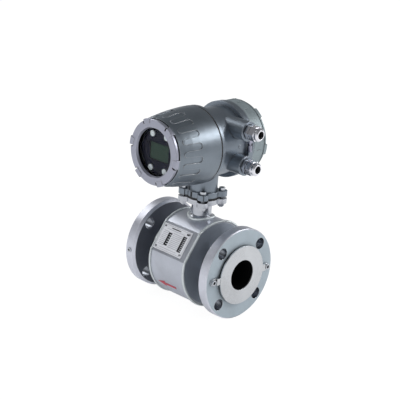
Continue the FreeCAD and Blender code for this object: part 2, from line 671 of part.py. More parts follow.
# --- transmitter housing ----------------------------------------------------------------------------
def housing_barrel():
    """Outside of the two-chamber barrel, with a threaded spigot at each end."""
    front, rear = FRONT_SHOULDER_Y - SPIGOT_LENGTH, REAR_SHOULDER_Y + SPIGOT_LENGTH
    shoulder_end = FRONT_SHOULDER_Y + FRONT_SHOULDER_WIDTH
    return turned_y([
        (front, 0), (front, SPIGOT_R - SPIGOT_CHAMFER), (front + SPIGOT_CHAMFER, SPIGOT_R),
        (FRONT_SHOULDER_Y, SPIGOT_R), (FRONT_SHOULDER_Y, SHOULDER_R),
        (shoulder_end, SHOULDER_R), (shoulder_end + FRONT_SHOULDER_TAPER, HOUSING_R),
        (LOCK_START_Y, HOUSING_R), (LOCK_START_Y, SHOULDER_R - SHOULDER_CHAMFER),
        (LOCK_START_Y + SHOULDER_CHAMFER, SHOULDER_R), (REAR_SHOULDER_Y, SHOULDER_R),
        (REAR_SHOULDER_Y, SPIGOT_R), (rear - SPIGOT_CHAMFER, SPIGOT_R),
        (rear, SPIGOT_R - SPIGOT_CHAMFER), (rear, 0)])


def lock_notch():
    """Recess for the cover lock in the rear shoulder, between the gland bosses."""
    low = AXIS_HEIGHT + LOCK_RISE - LOCK_HEIGHT / 2
    return box(LOCK_FLOOR_X, SHOULDER_R + 1, LOCK_START_Y, LOCK_START_Y + LOCK_WIDTH,
               low, low + LOCK_HEIGHT)


def transmitter_housing():
    """Cast barrel with its neck, foot, gland bosses and inner partition."""
    bosses = [cyl_x(BOSS_R, BOSS_ROOT_X, BOSS_FACE_X, BOSS_Y, z) for z in GLANDS.values()]
    neck = cyl_z(HOUSING_NECK_R, HOUSING_FOOT_Z, AXIS_HEIGHT)
    foot = eared_plate(HOUSING_FOOT_Z, FOOT_TOP_Z)
    mark = cyl_x(MARK_R, 0, HOUSING_R + MARK_HEIGHT, MARK_Y, AXIS_HEIGHT + MARK_RISE)
    solid = housing_barrel().fuse(bosses + [neck, foot, mark])
    front = cyl_y(CHAMBER_R, FRONT_SHOULDER_Y - SPIGOT_LENGTH, PARTITION_FRONT_Y, 0, AXIS_HEIGHT)
    rear = cyl_y(CHAMBER_R, PARTITION_REAR_Y, REAR_SHOULDER_Y + SPIGOT_LENGTH, 0, AXIS_HEIGHT)
    passage = cyl_z(HOUSING_NECK_BORE_R, HOUSING_FOOT_Z, AXIS_HEIGHT - HOUSING_R / 2)
    partition = cyl_y(HOUSING_R, PARTITION_FRONT_Y, PARTITION_REAR_Y, 0, AXIS_HEIGHT)
    glands = [cyl_x(GLAND_STUB_R, BOSS_ROOT_X, BOSS_FACE_X, BOSS_Y, z) for z in GLANDS.values()]
    return solid.cut([front, rear, passage.cut(partition), lock_notch()] + glands)


def cover_lock_clamp():
    """Small block in the lock notch that keeps the rear cover from turning."""
    top = AXIS_HEIGHT + LOCK_RISE + LOCK_HEIGHT / 2
    return box(LOCK_FLOOR_X, SHOULDER_R - LOCK_CLAMP_INSET, LOCK_START_Y,
               LOCK_START_Y + LOCK_WIDTH, top - LOCK_CLAMP_HEIGHT, top)


def cover_lock_screw():
    clamp_bottom = AXIS_HEIGHT + LOCK_RISE + LOCK_HEIGHT / 2 - LOCK_CLAMP_HEIGHT
    low = AXIS_HEIGHT + LOCK_RISE - LOCK_HEIGHT / 2
    x, y = LOCK_FLOOR_X + LOCK_SCREW_HEAD_R, LOCK_START_Y + LOCK_WIDTH / 2
    head_top = low + LOCK_SCREW_HEAD_HEIGHT
    return cyl_z(LOCK_SCREW_HEAD_R, low, head_top, x, y).fuse(
        cyl_z(LOCK_SCREW_R, head_top, clamp_bottom, x, y))


# --- covers -----------------------------------------------------------------------------------------
def lug_angles():
    return [LUG_START_ANGLE + 360.0 / LUG_COUNT * k for k in range(LUG_COUNT)]


def front_outline():
    """Barrel outline of the front cover, as (y, radius) points from the joint to the rim."""
    return [(FRONT_JOINT_Y - along, FRONT_JOINT_R - drop)
            for along, drop in zip(FRONT_SHELL_STATIONS, FRONT_SHELL_DROPS)]


def rear_outline():
    """Straight outline of the rear cover, from the joint to its end rim."""
    return [(REAR_JOINT_Y, REAR_COVER_R), (REAR_END_Y - REAR_RIM_LENGTH, REAR_COVER_R)]


def front_shell():
    """Barrel-shaped shell: rim, groove, window lip, glass pocket, cavity and thread bore."""
    line = front_outline()
    groove_y, groove_r = line[-1][0], FRONT_RIM_R - RIM_GROOVE_DEPTH
    pocket_end = RETAINER_BACK_Y + 1
    return turned_y([(FRONT_JOINT_Y, THREAD_R)] + line + [
        (groove_y, groove_r), (groove_y - RIM_GROOVE_WIDTH, groove_r),
        (groove_y - RIM_GROOVE_WIDTH, FRONT_RIM_R), (RIM_FACE_Y + RIM_CHAMFER, FRONT_RIM_R),
        (RIM_FACE_Y, FRONT_RIM_R - RIM_CHAMFER), (RIM_FACE_Y, WINDOW_R + WINDOW_FLARE),
        (RIM_FACE_Y + WINDOW_FLARE_DEPTH, WINDOW_R), (LIP_BACK_Y, WINDOW_R),
        (LIP_BACK_Y, GLASS_POCKET_R), (pocket_end, GLASS_POCKET_R),
        (pocket_end, COVER_CAVITY_R), (FRONT_SHOULDER_Y - SPIGOT_LENGTH - 1, COVER_CAVITY_R),
        (FRONT_SHOULDER_Y - SPIGOT_LENGTH - 1, THREAD_R)])


def front_lug(angle):
    """One raised wrench lug on the rim."""
    return turned_y([(COVER_FRONT_Y, LUG_INNER_R), (COVER_FRONT_Y, LUG_R - RIM_CHAMFER),
                     (COVER_FRONT_Y + RIM_CHAMFER, LUG_R), (COVER_FRONT_Y + LUG_LENGTH, LUG_R),
                     (COVER_FRONT_Y + LUG_LENGTH, LUG_INNER_R)],
                    angle - LUG_HALF_ANGLE, 2 * LUG_HALF_ANGLE)


def lug_slot(angle):
    """Wrench slot beside a lug: on its far side above the axis, on its near side below."""
    side = math.copysign(LUG_HALF_ANGLE, math.sin(math.radians(angle)))
    slot = box(LUG_INNER_R + LUG_SLOT_INSET, LUG_R + 1, COVER_FRONT_Y, COVER_FRONT_Y + LUG_SLOT_DEPTH,
               AXIS_HEIGHT - LUG_SLOT_WIDTH / 2, AXIS_HEIGHT + LUG_SLOT_WIDTH / 2)
    slot.rotate(V(0, 0, AXIS_HEIGHT), V(0, -1, 0), angle + side)
    return slot


def radial_block(half_width, start, end):
    """Block across a cover's wall at angle 0, between two stations."""
    low, high = sorted((start, end))
    return box(CHAMBER_R, FRONT_JOINT_R * 2, low, high,
               AXIS_HEIGHT - half_width, AXIS_HEIGHT + half_width)


def grip_finger(rounded_y, open_y):
    """Cutter for one finger: a slot with a round end, open towards the rim."""
    centre_y = rounded_y + math.copysign(GRIP_WIDTH / 2, open_y - rounded_y)
    end = cyl_x(GRIP_WIDTH / 2, CHAMBER_R, FRONT_JOINT_R * 2, centre_y, AXIS_HEIGHT)
    return radial_block(GRIP_WIDTH / 2, centre_y, open_y).fuse(end)


def grip_land_end(rounded_y, open_y, radius):
    """Cutter that rounds the end of the land between two fingers."""
    half_angle = math.pi / GRIP_COUNT - math.asin(GRIP_WIDTH / 2 / radius)
    land_r = radius * math.sin(half_angle)
    centre_y = open_y - math.copysign(land_r, open_y - rounded_y)
    end = cyl_x(land_r, CHAMBER_R, FRONT_JOINT_R * 2, centre_y, AXIS_HEIGHT)
    return radial_block(land_r + LAND_OVERLAP, centre_y, open_y).cut(end)


def turned_copy(shape, angle):
    """Copy of a shape turned about the transmitter axis."""
    copy = shape.copy()
    copy.rotate(V(0, 0, AXIS_HEIGHT), V(0, -1, 0), angle)
    return copy


def grip_recess(outline, rounded_y, open_y):
    """Shallow meander cut round a cover: fingers that run back from a lowered front band."""
    far_y = outline[-1][0]
    floor = [(y, r - GRIP_DEPTH) for y, r in outline]
    layer = turned_y(floor + [(far_y, FRONT_JOINT_R * 2), (outline[0][0], FRONT_JOINT_R * 2)])
    low, high = sorted((open_y, far_y))
    cutters = [cyl_y(FRONT_JOINT_R * 3, low, high, 0, AXIS_HEIGHT)]
    finger = grip_finger(rounded_y, open_y)
    land_end = grip_land_end(rounded_y, open_y, outline[-1][1])
    pitch = 360.0 / GRIP_COUNT
    for k in range(GRIP_COUNT):
        cutters.append(turned_copy(finger, GRIP_START_ANGLE + pitch * k))
        cutters.append(turned_copy(land_end, GRIP_START_ANGLE + pitch * (k + 0.5)))
    return [layer.common(cutter) for cutter in cutters]


def front_cover():
    """Shell with its meander grip, wrench lugs and slots."""
    start = FRONT_JOINT_Y - FRONT_GRIP_START
    recess = grip_recess(front_outline(), start, start - FRONT_GRIP_LENGTH)
    lugs = [front_lug(angle) for angle in lug_angles()]
    return front_shell().cut(recess).fuse(lugs).cut([lug_slot(angle) for angle in lug_angles()])


def window_gasket():
    return turned_y([(LIP_BACK_Y, WINDOW_R + WINDOW_GASKET_INSET),
                     (LIP_BACK_Y, GLASS_POCKET_R - GLASS_GAP),
                     (GLASS_FRONT_Y, GLASS_POCKET_R - GLASS_GAP),
                     (GLASS_FRONT_Y, WINDOW_R + WINDOW_GASKET_INSET)])


def window_glass():
    return cyl_y(GLASS_POCKET_R - GLASS_GAP, GLASS_FRONT_Y, GLASS_BACK_Y, 0, AXIS_HEIGHT)


def window_retainer():
    """Threaded ring that clamps the glass from inside."""
    return turned_y([(GLASS_BACK_Y, RETAINER_R), (GLASS_BACK_Y, GLASS_POCKET_R),
                     (RETAINER_BACK_Y, GLASS_POCKET_R), (RETAINER_BACK_Y, RETAINER_R)])


def cover_seal(start, end):
    return turned_y([(start, SEAL_INNER_R), (start, COVER_SEAL_R),
                     (end, COVER_SEAL_R), (end, SEAL_INNER_R)])


def front_cover_seal():
    return cover_seal(FRONT_JOINT_Y, FRONT_SHOULDER_Y)


def rear_cover_seal():
    return cover_seal(REAR_SHOULDER_Y, REAR_JOINT_Y)


def rear_lug(angle):
    """One raised wrench lug on the rear cover's end rim."""
    start, end = REAR_END_Y - REAR_RIM_LENGTH, REAR_END_Y + RIM_STEP
    inside = REAR_END_Y - REAR_COVER_END_WALL / 2
    return turned_y([(start, REAR_RIM_R - RIM_CHAMFER), (start, REAR_COVER_R),
                     (end - RIM_CHAMFER, REAR_COVER_R), (end, REAR_COVER_R - RIM_CHAMFER),
                     (end, LUG_INNER_R), (inside, LUG_INNER_R),
                     (inside, REAR_RIM_R - RIM_CHAMFER)],
                    angle - LUG_HALF_ANGLE, 2 * LUG_HALF_ANGLE)


def rear_cover():
    """Blind cover over the terminals, with the front cover's grip and lugs."""
    rim_start, cavity_end = REAR_END_Y - REAR_RIM_LENGTH, REAR_END_Y - REAR_COVER_END_WALL
    shell = turned_y([
        (REAR_JOINT_Y, THREAD_R), (REAR_JOINT_Y, REAR_COVER_R), (rim_start, REAR_COVER_R),
        (rim_start + RIM_CHAMFER, REAR_RIM_R), (REAR_END_Y - RIM_CHAMFER, REAR_RIM_R),
        (REAR_END_Y, REAR_RIM_R - RIM_CHAMFER), (REAR_END_Y, 0), (cavity_end, 0),
        (cavity_end, THREAD_R)])
    start = REAR_JOINT_Y + REAR_GRIP_START
    recess = grip_recess(rear_outline(), start, start + REAR_GRIP_LENGTH)
    return shell.cut(recess).fuse([rear_lug(angle) for angle in lug_angles()])


# --- display, boards and terminals ---------------------------------------------------------------------
def panel_screw_places():
    return [(sx * PANEL_SCREW_X, DISPLAY_Z + sz * PANEL_SCREW_RISE)
            for sx in (-1, 1) for sz in (-1, 1)]


def lcd_block(margin, start, end):
    """Rectangle of the display, widened by a margin, between two stations."""
    half_x, half_z = LCD_LENGTH / 2 + margin, LCD_HEIGHT / 2 + margin
    return box(-half_x, half_x, start, end, DISPLAY_Z - half_z, DISPLAY_Z + half_z)


def display_panel():
    disc = cyl_y(PANEL_R, PANEL_FRONT_Y, PANEL_BACK_Y, 0, AXIS_HEIGHT)
    return disc.cut(lcd_block(LCD_FIT, PANEL_FRONT_Y, PANEL_BACK_Y))


def lcd_module():
    return lcd_block(0, PANEL_FRONT_Y + LCD_RECESS, PANEL_BACK_Y).fuse(
        lcd_block(LCD_BEZEL, PANEL_BACK_Y, LCD_BACK_Y))


def panel_screws():
    front = PANEL_FRONT_Y - PANEL_SCREW_HEAD_HEIGHT
    return Part.makeCompound([
        cyl_y(PANEL_SCREW_HEAD_R, front, PANEL_FRONT_Y, x, z).cut(
            cyl_y(PANEL_SCREW_SOCKET_R, front, front + PANEL_SCREW_SOCKET_DEPTH, x, z))
        for x, z in panel_screw_places()])


def display_board():
    board = cyl_y(DISPLAY_BOARD_R, LCD_BACK_Y, LCD_BACK_Y + BOARD_THICKNESS, 0, AXIS_HEIGHT)
    return board.cut([cyl_y(STANDOFF_R, LCD_BACK_Y, LCD_BACK_Y + BOARD_THICKNESS, x, z)
                      for x, z in panel_screw_places()])


def display_standoffs():
    return Part.makeCompound([cyl_y(STANDOFF_R, PANEL_BACK_Y, AMPLIFIER_FRONT_Y, x, z)
                              for x, z in panel_screw_places()])


def amplifier_board():
    """Round board with its tallest parts, on four standoffs."""
    board = cyl_y(AMPLIFIER_BOARD_R, AMPLIFIER_FRONT_Y, AMPLIFIER_BACK_Y, 0, AXIS_HEIGHT)
    parts = [box(x, x + length, AMPLIFIER_FRONT_Y - tall, AMPLIFIER_FRONT_Y,
                 AXIS_HEIGHT + rise, AXIS_HEIGHT + rise + width)
             for x, rise, length, width, tall in BOARD_PART_SIZES]
    return board.fuse(parts)


def board_standoffs():
    spots = [(sx * BOARD_STANDOFF_SPACING, AXIS_HEIGHT + sz * BOARD_STANDOFF_SPACING)
             for sx in (-1, 1) for sz in (-1, 1)]
    return Part.makeCompound([cyl_y(STANDOFF_R, AMPLIFIER_BACK_Y, PARTITION_FRONT_Y, x, z)
                              for x, z in spots])


def terminal_block():
    half = TERMINAL_LENGTH / 2
    return box(-half, half, PARTITION_REAR_Y, TERMINAL_FACE_Y,
               TERMINAL_BOTTOM_Z, TERMINAL_BOTTOM_Z + TERMINAL_HEIGHT)


def terminal_screws():
    pitch = TERMINAL_LENGTH / TERMINAL_COUNT
    spots = [pitch * (k + 0.5) - TERMINAL_LENGTH / 2 for k in range(TERMINAL_COUNT)]
    return Part.makeCompound([
        cyl_y(TERMINAL_SCREW_R, TERMINAL_FACE_Y, TERMINAL_FACE_Y + TERMINAL_SCREW_HEIGHT,
              x, AXIS_HEIGHT) for x in spots])


def inner_earth_screw():
    return cyl_y(INNER_EARTH_R, PARTITION_REAR_Y, PARTITION_REAR_Y + INNER_EARTH_HEIGHT,
                 INNER_EARTH_X, AXIS_HEIGHT + INNER_EARTH_RISE)


def signal_harness():
    """Bundle from the coils and electrodes up the neck to the terminals."""
    bundle = cyl_z(HARNESS_R, YOKE_INNER_R, TERMINAL_BOTTOM_Z, 0, HARNESS_Y)
    return bundle.cut(cyl_x(YOKE_R, -2 * HARNESS_R, 2 * HARNESS_R))


# --- cable glands -----------------------------------------------------------------------------------------
def gland_washers():
    return Part.makeCompound([
        cyl_x(GLAND_WASHER_R, BOSS_FACE_X, GLAND_SEAT_X, BOSS_Y, z).cut(
            cyl_x(GLAND_STUB_R, BOSS_FACE_X, GLAND_SEAT_X, BOSS_Y, z)) for z in GLANDS.values()])


def gland_body(z):
    """Hexagon with a threaded stub at each side."""
    start = BOSS_FACE_X - GLAND_STUB_DEPTH
    stub = cyl_x(GLAND_STUB_R, start, GLAND_STUB_END_X, BOSS_Y, z)
    nut = hex_prism(GLAND_ACROSS, GLAND_SEAT_X, GLAND_HEX_END_X, AXIS_X, V(0, BOSS_Y, z))
    return stub.fuse(nut).cut(cyl_x(GLAND_BORE_R, start, GLAND_STUB_END_X, BOSS_Y, z))


def gland_nut(z):
    """Clamping nut with a domed mouth."""
    nut = hex_prism(GLAND_ACROSS, GLAND_NUT_START_X, GLAND_NUT_STEP_X, AXIS_X, V(0, BOSS_Y, z))
    dome = cyl_x(GLAND_DOME_R, GLAND_NUT_STEP_X, GLAND_NUT_END_X, BOSS_Y, z)
    rim = [e for e in dome.Edges if e.BoundBox.XLength < 0.01 and e.BoundBox.XMin > GLAND_NUT_STEP_X + 1]
    dome = dome.makeChamfer(GLAND_DOME_CHAMFER, rim)
    thread = cyl_x(GLAND_STUB_R + THREAD_GAP, GLAND_NUT_START_X, GLAND_NUT_WALL_X, BOSS_Y, z)
    mouth = cyl_x(GLAND_MOUTH_R, GLAND_NUT_WALL_X, GLAND_NUT_END_X, BOSS_Y, z)
    return nut.fuse(dome).cut([thread, mouth])


def gland_insert(z):
    """Rubber sleeve between the gland's stub and the nut's end wall."""
    return cyl_x(GLAND_INSERT_R, GLAND_STUB_END_X, GLAND_NUT_WALL_X, BOSS_Y, z).cut(
        cyl_x(GLAND_INSERT_BORE_R, GLAND_STUB_END_X, GLAND_NUT_WALL_X, BOSS_Y, z))


def build_parts():
    """Every node of the assembly by name."""
    parts = {
        "measuring_tube": measuring_tube(), "tube_liner": tube_liner(),
        "inlet_flange": inlet_flange(), "outlet_flange": outlet_flange(),
        "ground_ring_inlet": ground_ring_inlet(),
        "ground_ring_outlet": mirrored_x(ground_ring_inlet()),
        "ring_screws_inlet": ring_screws_inlet(),
        "ring_screws_outlet": mirrored_x(ring_screws_inlet()), "earth_screw": earth_screw(),
        "coil_jacket": coil_jacket(), "jacket_end_inlet": jacket_end_inlet(),
        "jacket_end_outlet": mirrored_x(jacket_end_inlet()), "weld_beads": weld_beads(),
        "nameplate": nameplate(), "nameplate_rivets": nameplate_rivets(),
        "flow_arrow": flow_arrow(), "coil_upper": coil_upper(),
        "coil_lower": mirrored_z(coil_upper()), "pole_shoe_upper": pole_shoe_upper(),
        "pole_shoe_lower": mirrored_z(pole_shoe_upper()), "coil_yoke": coil_yoke(),
        "electrodes": electrodes(), "electrode_seals": electrode_seals(),
        "electrode_nuts": electrode_nuts(), "neck_tube": neck_tube(),
        "neck_gasket": neck_gasket(), "neck_screws": neck_screws(), "neck_nuts": neck_nuts(),
        "transmitter_housing": transmitter_housing(), "cover_lock_clamp": cover_lock_clamp(),
        "cover_lock_screw": cover_lock_screw(), "front_cover": front_cover(),
        "window_gasket": window_gasket(), "window_glass": window_glass(),
        "window_retainer": window_retainer(), "front_cover_seal": front_cover_seal(),
        "rear_cover": rear_cover(), "rear_cover_seal": rear_cover_seal(),
        "display_panel": display_panel(), "lcd_module": lcd_module(),
        "panel_screws": panel_screws(), "display_board": display_board(),
        "display_standoffs": display_standoffs(), "amplifier_board": amplifier_board(),
        "board_standoffs": board_standoffs(), "terminal_block": terminal_block(),
        "terminal_screws": terminal_screws(), "inner_earth_screw": inner_earth_screw(),
        "signal_harness": signal_harness(), "gland_washers": gland_washers(),
    }
    for place, z in GLANDS.items():
        parts["gland_body_" + place] = gland_body(z)
        parts["gland_nut_" + place] = gland_nut(z)
        parts["gland_insert_" + place] = gland_insert(z)
    return parts


def main():
    os.makedirs("parts", exist_ok=True)
    for name, shape in build_parts().items():
        shape.exportStep("parts/" + name + ".step")
        bounds = shape.BoundBox
        print("%-22s solids %d valid %s  X %.1f..%.1f  Y %.1f..%.1f  Z %.1f..%.1f" % (
            name, len(shape.Solids), shape.isValid(), bounds.XMin, bounds.XMax,
            bounds.YMin, bounds.YMax, bounds.ZMin, bounds.ZMax))


main()
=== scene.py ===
"""Looks of a flanged electromagnetic flow meter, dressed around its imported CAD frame."""

import logging
import math
from dataclasses import dataclass, field
from enum import Enum
from typing import Any, Callable, Iterable

import bpy
from mathutils import Matrix, Vector

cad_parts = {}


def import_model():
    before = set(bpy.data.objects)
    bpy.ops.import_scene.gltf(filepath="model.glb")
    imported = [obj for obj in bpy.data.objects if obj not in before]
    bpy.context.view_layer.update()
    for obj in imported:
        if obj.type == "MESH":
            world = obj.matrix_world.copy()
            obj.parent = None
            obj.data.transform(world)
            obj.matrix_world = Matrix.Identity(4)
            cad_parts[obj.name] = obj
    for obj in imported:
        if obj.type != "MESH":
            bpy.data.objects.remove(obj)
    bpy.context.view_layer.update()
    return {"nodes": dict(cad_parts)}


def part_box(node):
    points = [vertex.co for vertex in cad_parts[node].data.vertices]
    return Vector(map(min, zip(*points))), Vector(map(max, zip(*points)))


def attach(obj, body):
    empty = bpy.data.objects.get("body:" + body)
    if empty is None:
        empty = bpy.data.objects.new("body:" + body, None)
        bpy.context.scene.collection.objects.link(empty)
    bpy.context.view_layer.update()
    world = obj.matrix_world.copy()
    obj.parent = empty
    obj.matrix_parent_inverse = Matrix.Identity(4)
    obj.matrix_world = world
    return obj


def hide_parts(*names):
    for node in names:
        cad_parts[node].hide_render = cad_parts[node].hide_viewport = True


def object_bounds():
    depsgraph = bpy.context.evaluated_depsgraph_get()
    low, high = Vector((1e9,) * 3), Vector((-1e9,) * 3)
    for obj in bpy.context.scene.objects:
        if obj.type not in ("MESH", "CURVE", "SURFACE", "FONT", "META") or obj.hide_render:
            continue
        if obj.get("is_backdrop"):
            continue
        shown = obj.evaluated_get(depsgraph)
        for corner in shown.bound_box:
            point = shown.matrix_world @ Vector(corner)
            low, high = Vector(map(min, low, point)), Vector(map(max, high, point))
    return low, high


Colour = tuple[float, float, float]
Triple = tuple[float, float, float]
Path = list[tuple[Vector, Vector]]
Field = tuple[float, float, float, float]
Socket = bpy.types.NodeSocket

MM = 0.001
METER_BODY = "meter"
LOG = logging.getLogger("flow_meter")

# Near-black that narrow nooks are darkened towards: painted shade.
NOOK_SHADE: Colour = (0.006, 0.006, 0.008)
HEAD_CENTRE: Triple = (0.0, 0.0, 194.4 * MM)
UPPER_GLAND: Triple = (0.0, 16.0 * MM, 227.4 * MM)
LOWER_GLAND: Triple = (0.0, 16.0 * MM, 171.4 * MM)
FLAT_SLOPE = math.radians(34.0)
EVERYWHERE = 1.0


def shown(red: int, green: int, blue: int) -> Colour:
    """Turn a colour as a screen shows it into the linear values that a shader takes.

    Args:
        red: Red, from 0 to 255.
        green: Green, from 0 to 255.
        blue: Blue, from 0 to 255.

    Returns:
        The three linear values.
    """
    def linear(value: int) -> float:
        """Undo the screen's curve for one channel."""
        part = value / 255
        return part / 12.92 if part <= 0.04045 else ((part + 0.055) / 1.055) ** 2.4
    return linear(red), linear(green), linear(blue)


# --- shader building ---------------------------------------------------------------------------
class Bench:
    """Adds and joins the nodes of one node tree."""

    def __init__(self, tree: bpy.types.NodeTree) -> None:
        """Work on one tree.

        Args:
            tree: The node tree to add to.
        """
        self.tree = tree

    def add(self, kind: str, **settings: Any) -> bpy.types.Node:
        """Add a node and set its properties.

        Args:
            kind: The node's type name.
            **settings: Properties of the node, by name.

        Returns:
            The new node.
        """
        node = self.tree.nodes.new(kind)
        for name, value in settings.items():
            setattr(node, name, value)
        return node

    def link(self, source: Socket, target: Socket) -> None:
        """Join two sockets."""
        self.tree.links.new(source, target)

    def put(self, value: Any, target: Socket) -> None:
        """Give one input a link or a plain value.

        Args:
            value: A socket to link from, a number, a vector or a linear colour.
            target: The input.
        """
        if isinstance(value, bpy.types.NodeSocket):
            self.link(value, target)
        elif target.type == "RGBA":
            target.default_value = (*value[:3], 1.0)
        else:
            target.default_value = value

    def feed(self, node: bpy.types.Node, **values: Any) -> bpy.types.Node:
        """Give a node's inputs their values or links, by input name with _ for a space.

        Args:
            node: The node whose inputs are set.
            **values: What put takes.

        Returns:
            The same node.
        """
        for name, value in values.items():
            self.put(value, node.inputs[name.replace("_", " ")])
        return node

    def fill(self, node: bpy.types.Node, values: dict[int, Any]) -> bpy.types.Node:
        """Give a node's inputs their values or links, by place.

        Args:
            node: The node whose inputs are set.
            values: What put takes, under the place of each input.

        Returns:
            The same node.
        """
        for place, value in values.items():
            self.put(value, node.inputs[place])
        return node

    def math(self, operation: str, first: Any, second: Any = 0.0, clamp: bool = False) -> Socket:
        """Work out a number from two numbers.

        Args:
            operation: The Math node's operation.
            first: A socket or a number.
            second: A socket or a number.
            clamp: Whether the result is held between 0 and 1.

        Returns:
            The result's socket.
        """
        node = self.add("ShaderNodeMath", operation=operation, use_clamp=clamp)
        return self.fill(node, {0: first, 1: second}).outputs[0]

    def blend(self, factor: Any, first: Any, second: Any, mode: str = "MIX") -> Socket:
        """Blend two colours.

        Args:
            factor: A socket or a number, 0 for the first colour.
            first: A socket or a linear colour.
            second: A socket or a linear colour.
            mode: How the second colour is laid over the first.

        Returns:
            The blended colour's socket.
        """
        node = self.add("ShaderNodeMix", data_type="RGBA", blend_type=mode)
        return self.fill(node, {0: factor, 6: first, 7: second}).outputs[2]

    def between(self, factor: Any, first: Any, second: Any) -> Socket:
        """Blend two numbers.

        Args:
            factor: A socket or a number, 0 for the first number.
            first: A socket or a number.
            second: A socket or a number.

        Returns:
            The blended number's socket.
        """
        node = self.add("ShaderNodeMix", data_type="FLOAT")
        return self.fill(node, {0: factor, 2: first, 3: second}).outputs[0]

    def mixed(self, factor: Socket, first: bpy.types.Node, second: bpy.types.Node
              ) -> bpy.types.Node:
        """Mix two shaders.

        Args:
            factor: A socket, 0 for the first shader.
            first: A shader node.
            second: A shader node.

        Returns:
            The mixing node.
        """
        node = self.add("ShaderNodeMixShader")
        return self.fill(node, {0: factor, 1: first.outputs[0], 2: second.outputs[0]})

    def spread(self, value: Socket, span: tuple[float, float],
               result: tuple[float, float] = (0.0, 1.0)) -> Socket:
        """Map a range of numbers on to another, held within it.

        Args:
            value: The number's socket.
            span: Start and end of the range that comes in.
            result: What the start and the end become.

        Returns:
            The mapped number's socket.
        """
        node = self.add("ShaderNodeMapRange", clamp=True)
        values = (value, *span, *result)
        return self.fill(node, dict(enumerate(values))).outputs[0]

    def parts_of(self, vector: Socket) -> tuple[Socket, Socket, Socket]:
        """Split a vector into its X, Y and Z."""
        return tuple(self.fill(self.add("ShaderNodeSeparateXYZ"), {0: vector}).outputs)

    def vector_of(self, *parts: Socket) -> Socket:
        """Join up to three numbers into a vector."""
        node = self.add("ShaderNodeCombineXYZ")
        return self.fill(node, dict(enumerate(parts))).outputs[0]

    def here(self) -> Socket:
        """Object coordinates, which are the CAD frame because each piece sits at its origin."""
        return self.add("ShaderNodeTexCoord").outputs["Object"]

    def facing(self) -> Socket:
        """The way that the surface faces."""
        return self.add("ShaderNodeNewGeometry").outputs["Normal"]

    def noise(self, vector: Socket, scale: Any, detail: float, **values: Any) -> Socket:
        """Cloudy noise in three dimensions.

        Args:
            vector: Where it is read.
            scale: A socket or a number, larger for finer noise.
            detail: How many finer layers it carries.
            **values: Further inputs of the node.

        Returns:
            The noise's socket, from 0 to 1.
        """
        node = self.add("ShaderNodeTexNoise")
        return self.feed(node, Vector=vector, Scale=scale, Detail=detail, **values).outputs[0]


def new_material(name: str) -> tuple[bpy.types.Material, Bench, bpy.types.Node]:
    """Start a material.

    Args:
        name: The material's name.

    Returns:
        The material, its bench and its shader.
    """
    material = bpy.data.materials.new(name)
    material.use_nodes = True
    return material, Bench(material.node_tree), material.node_tree.nodes["Principled BSDF"]


